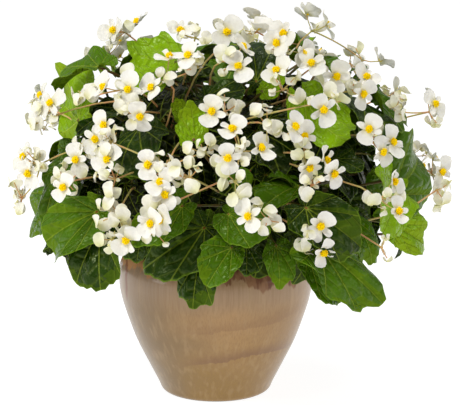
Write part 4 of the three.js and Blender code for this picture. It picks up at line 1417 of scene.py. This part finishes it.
def settle(grown, number, throw):
    """Grows, lowers and turns what one spray carries."""
    heads = zip(grown.heads, grown.flowers)
    grown.flowers = [regrown(head, flowers, number) for head, flowers in heads]
    shift = TOWARD * FORWARD.get(number, 0)
    for head in grown.heads:
        head.point = lowered(head.point) + shift
        head.dry = number in WITHERED
    bends = []
    for k, (start, via, end) in enumerate(route.corners for route in grown.routes):
        via = lowered(via) + shift * (0.7 if k == 0 else 1)
        bends.append(Bend(lowered(start), via, lowered(end) + shift))
    grown.routes = bends
    for flower in (flower for flowers in grown.flowers for flower in flowers):
        nodding(flower, TO_LIGHT if number < len(FRONT_SPRAYS) else 0, throw)
        flower.centre = flower.centre + shift
        flower.size *= SHRUNK if number in WITHERED else 1


print("heads that come forward:", len(FORWARD), "and dry ones:", len(WITHERED))

# %% [markdown]
# ## Sprays
#
# Every spray is one piece: its stalks along their smooth bends, and its heads. It takes the place of one
# solid, which is hidden but stays in the scene.

# %% Sprays of flowers
SPRAY_SEED = 9000

for number, grown in enumerate(SPRAYS):
    throw = dice(number + SPRAY_SEED)
    settle(grown, number, throw)
    spray = empty_shape()
    for k, route in enumerate(grown.routes):
        add_to(spray, stalk_shape(route, STALK_THICK if k == 0 else FORK_THICK), TAN)
    for head, flowers in zip(grown.heads, grown.flowers):
        add_head(spray, head, flowers, throw)
    name = grown.node.replace("flower_spray", "blooms")
    finished_piece(name, spray, [PETAL, BUD, STAMEN, STALK], "bloom", grown.node)
print("sprays dressed:", len(SPRAYS))

# %% [markdown]
# ## The studio
#
# The plant stands on a pale floor under soft light from above and from the left, with a bright, even sky
# all round, as in a white photo tent. The camera looks down by twelve degrees from far away, through a
# long lens, so the pot hardly tapers with distance.

# %% Floor, light and camera
def floor_finish():
    """White paper on a light box, which keeps the shadow small."""
    paper = Finish("floor", Specular_IOR_Level=0.05, Emission_Strength=0.9)
    paper.shader.inputs["Emission Color"].default_value = (1, 1, 1, 1)
    grain = paper.noise(3.0, 2.0)
    return paper.wear(
        Base_Color=paper.mix(grain * 0.3, colour(164, 164, 164), colour(160, 160, 160)),
        Roughness=0.8 + grain * 0.1,
    )


floor_mesh = bmesh.new()
bmesh.ops.create_grid(floor_mesh, x_segments=1, y_segments=1, size=40)
floor_data = bpy.data.meshes.new("floor")
floor_mesh.to_mesh(floor_data)
floor_mesh.free()
floor_data.materials.append(floor_finish())
floor = bpy.data.objects.new("floor", floor_data)
bpy.context.collection.objects.link(floor)


def soft_light(name, place, size, watts):
    data = bpy.data.lights.new(name, "AREA")
    data.shape, data.size, data.energy = "DISK", size, watts
    lamp = bpy.data.objects.new(name, data)
    lamp.location = place
    lamp.rotation_mode = "QUATERNION"
    lamp.rotation_quaternion = (Vector(place) - Vector((0, 0, 0.25))).to_track_quat("Z", "Y")
    bpy.context.collection.objects.link(lamp)


soft_light("key", (-1.2, -1.5, 2.2), 0.9, 38)
soft_light("top", (0.5, 0.3, 2.7), 1.2, 22)
soft_light("left", (-2.2, -0.9, 0.8), 1.0, 9)
soft_light("right", (2.2, -0.9, 0.9), 1.0, 7)
sky = bpy.data.worlds.new("sky")
sky.use_nodes = True
sky.node_tree.nodes["Background"].inputs["Color"].default_value = (1, 1, 1, 1)
sky.node_tree.nodes["Background"].inputs["Strength"].default_value = 0.28
bpy.context.scene.world = sky

SENSOR, PIXELS_ACROSS, MM_PER_PIXEL, CAMERA_DOWN = 36, 460, 1.25, 0.4
lens = bpy.data.cameras.new("camera")
lens.sensor_width = SENSOR
lens.lens = SENSOR * VIEW_DISTANCE / (PIXELS_ACROSS * MM_PER_PIXEL)
lens.clip_end = 200
camera = bpy.data.objects.new("camera", lens)
aim = RIGHT * VIEW_ACROSS + UPWARD * (VIEW_UP - CAMERA_DOWN)
camera.location = (aim + TOWARD * VIEW_DISTANCE) * MM
camera.rotation_mode = "QUATERNION"
camera.rotation_quaternion = TOWARD.to_track_quat("Z", "Y")
bpy.context.collection.objects.link(camera)
bpy.context.scene.camera = camera
bpy.context.scene.view_settings.view_transform = "Standard"
print("lens:", round(lens.lens, 1), "mm")
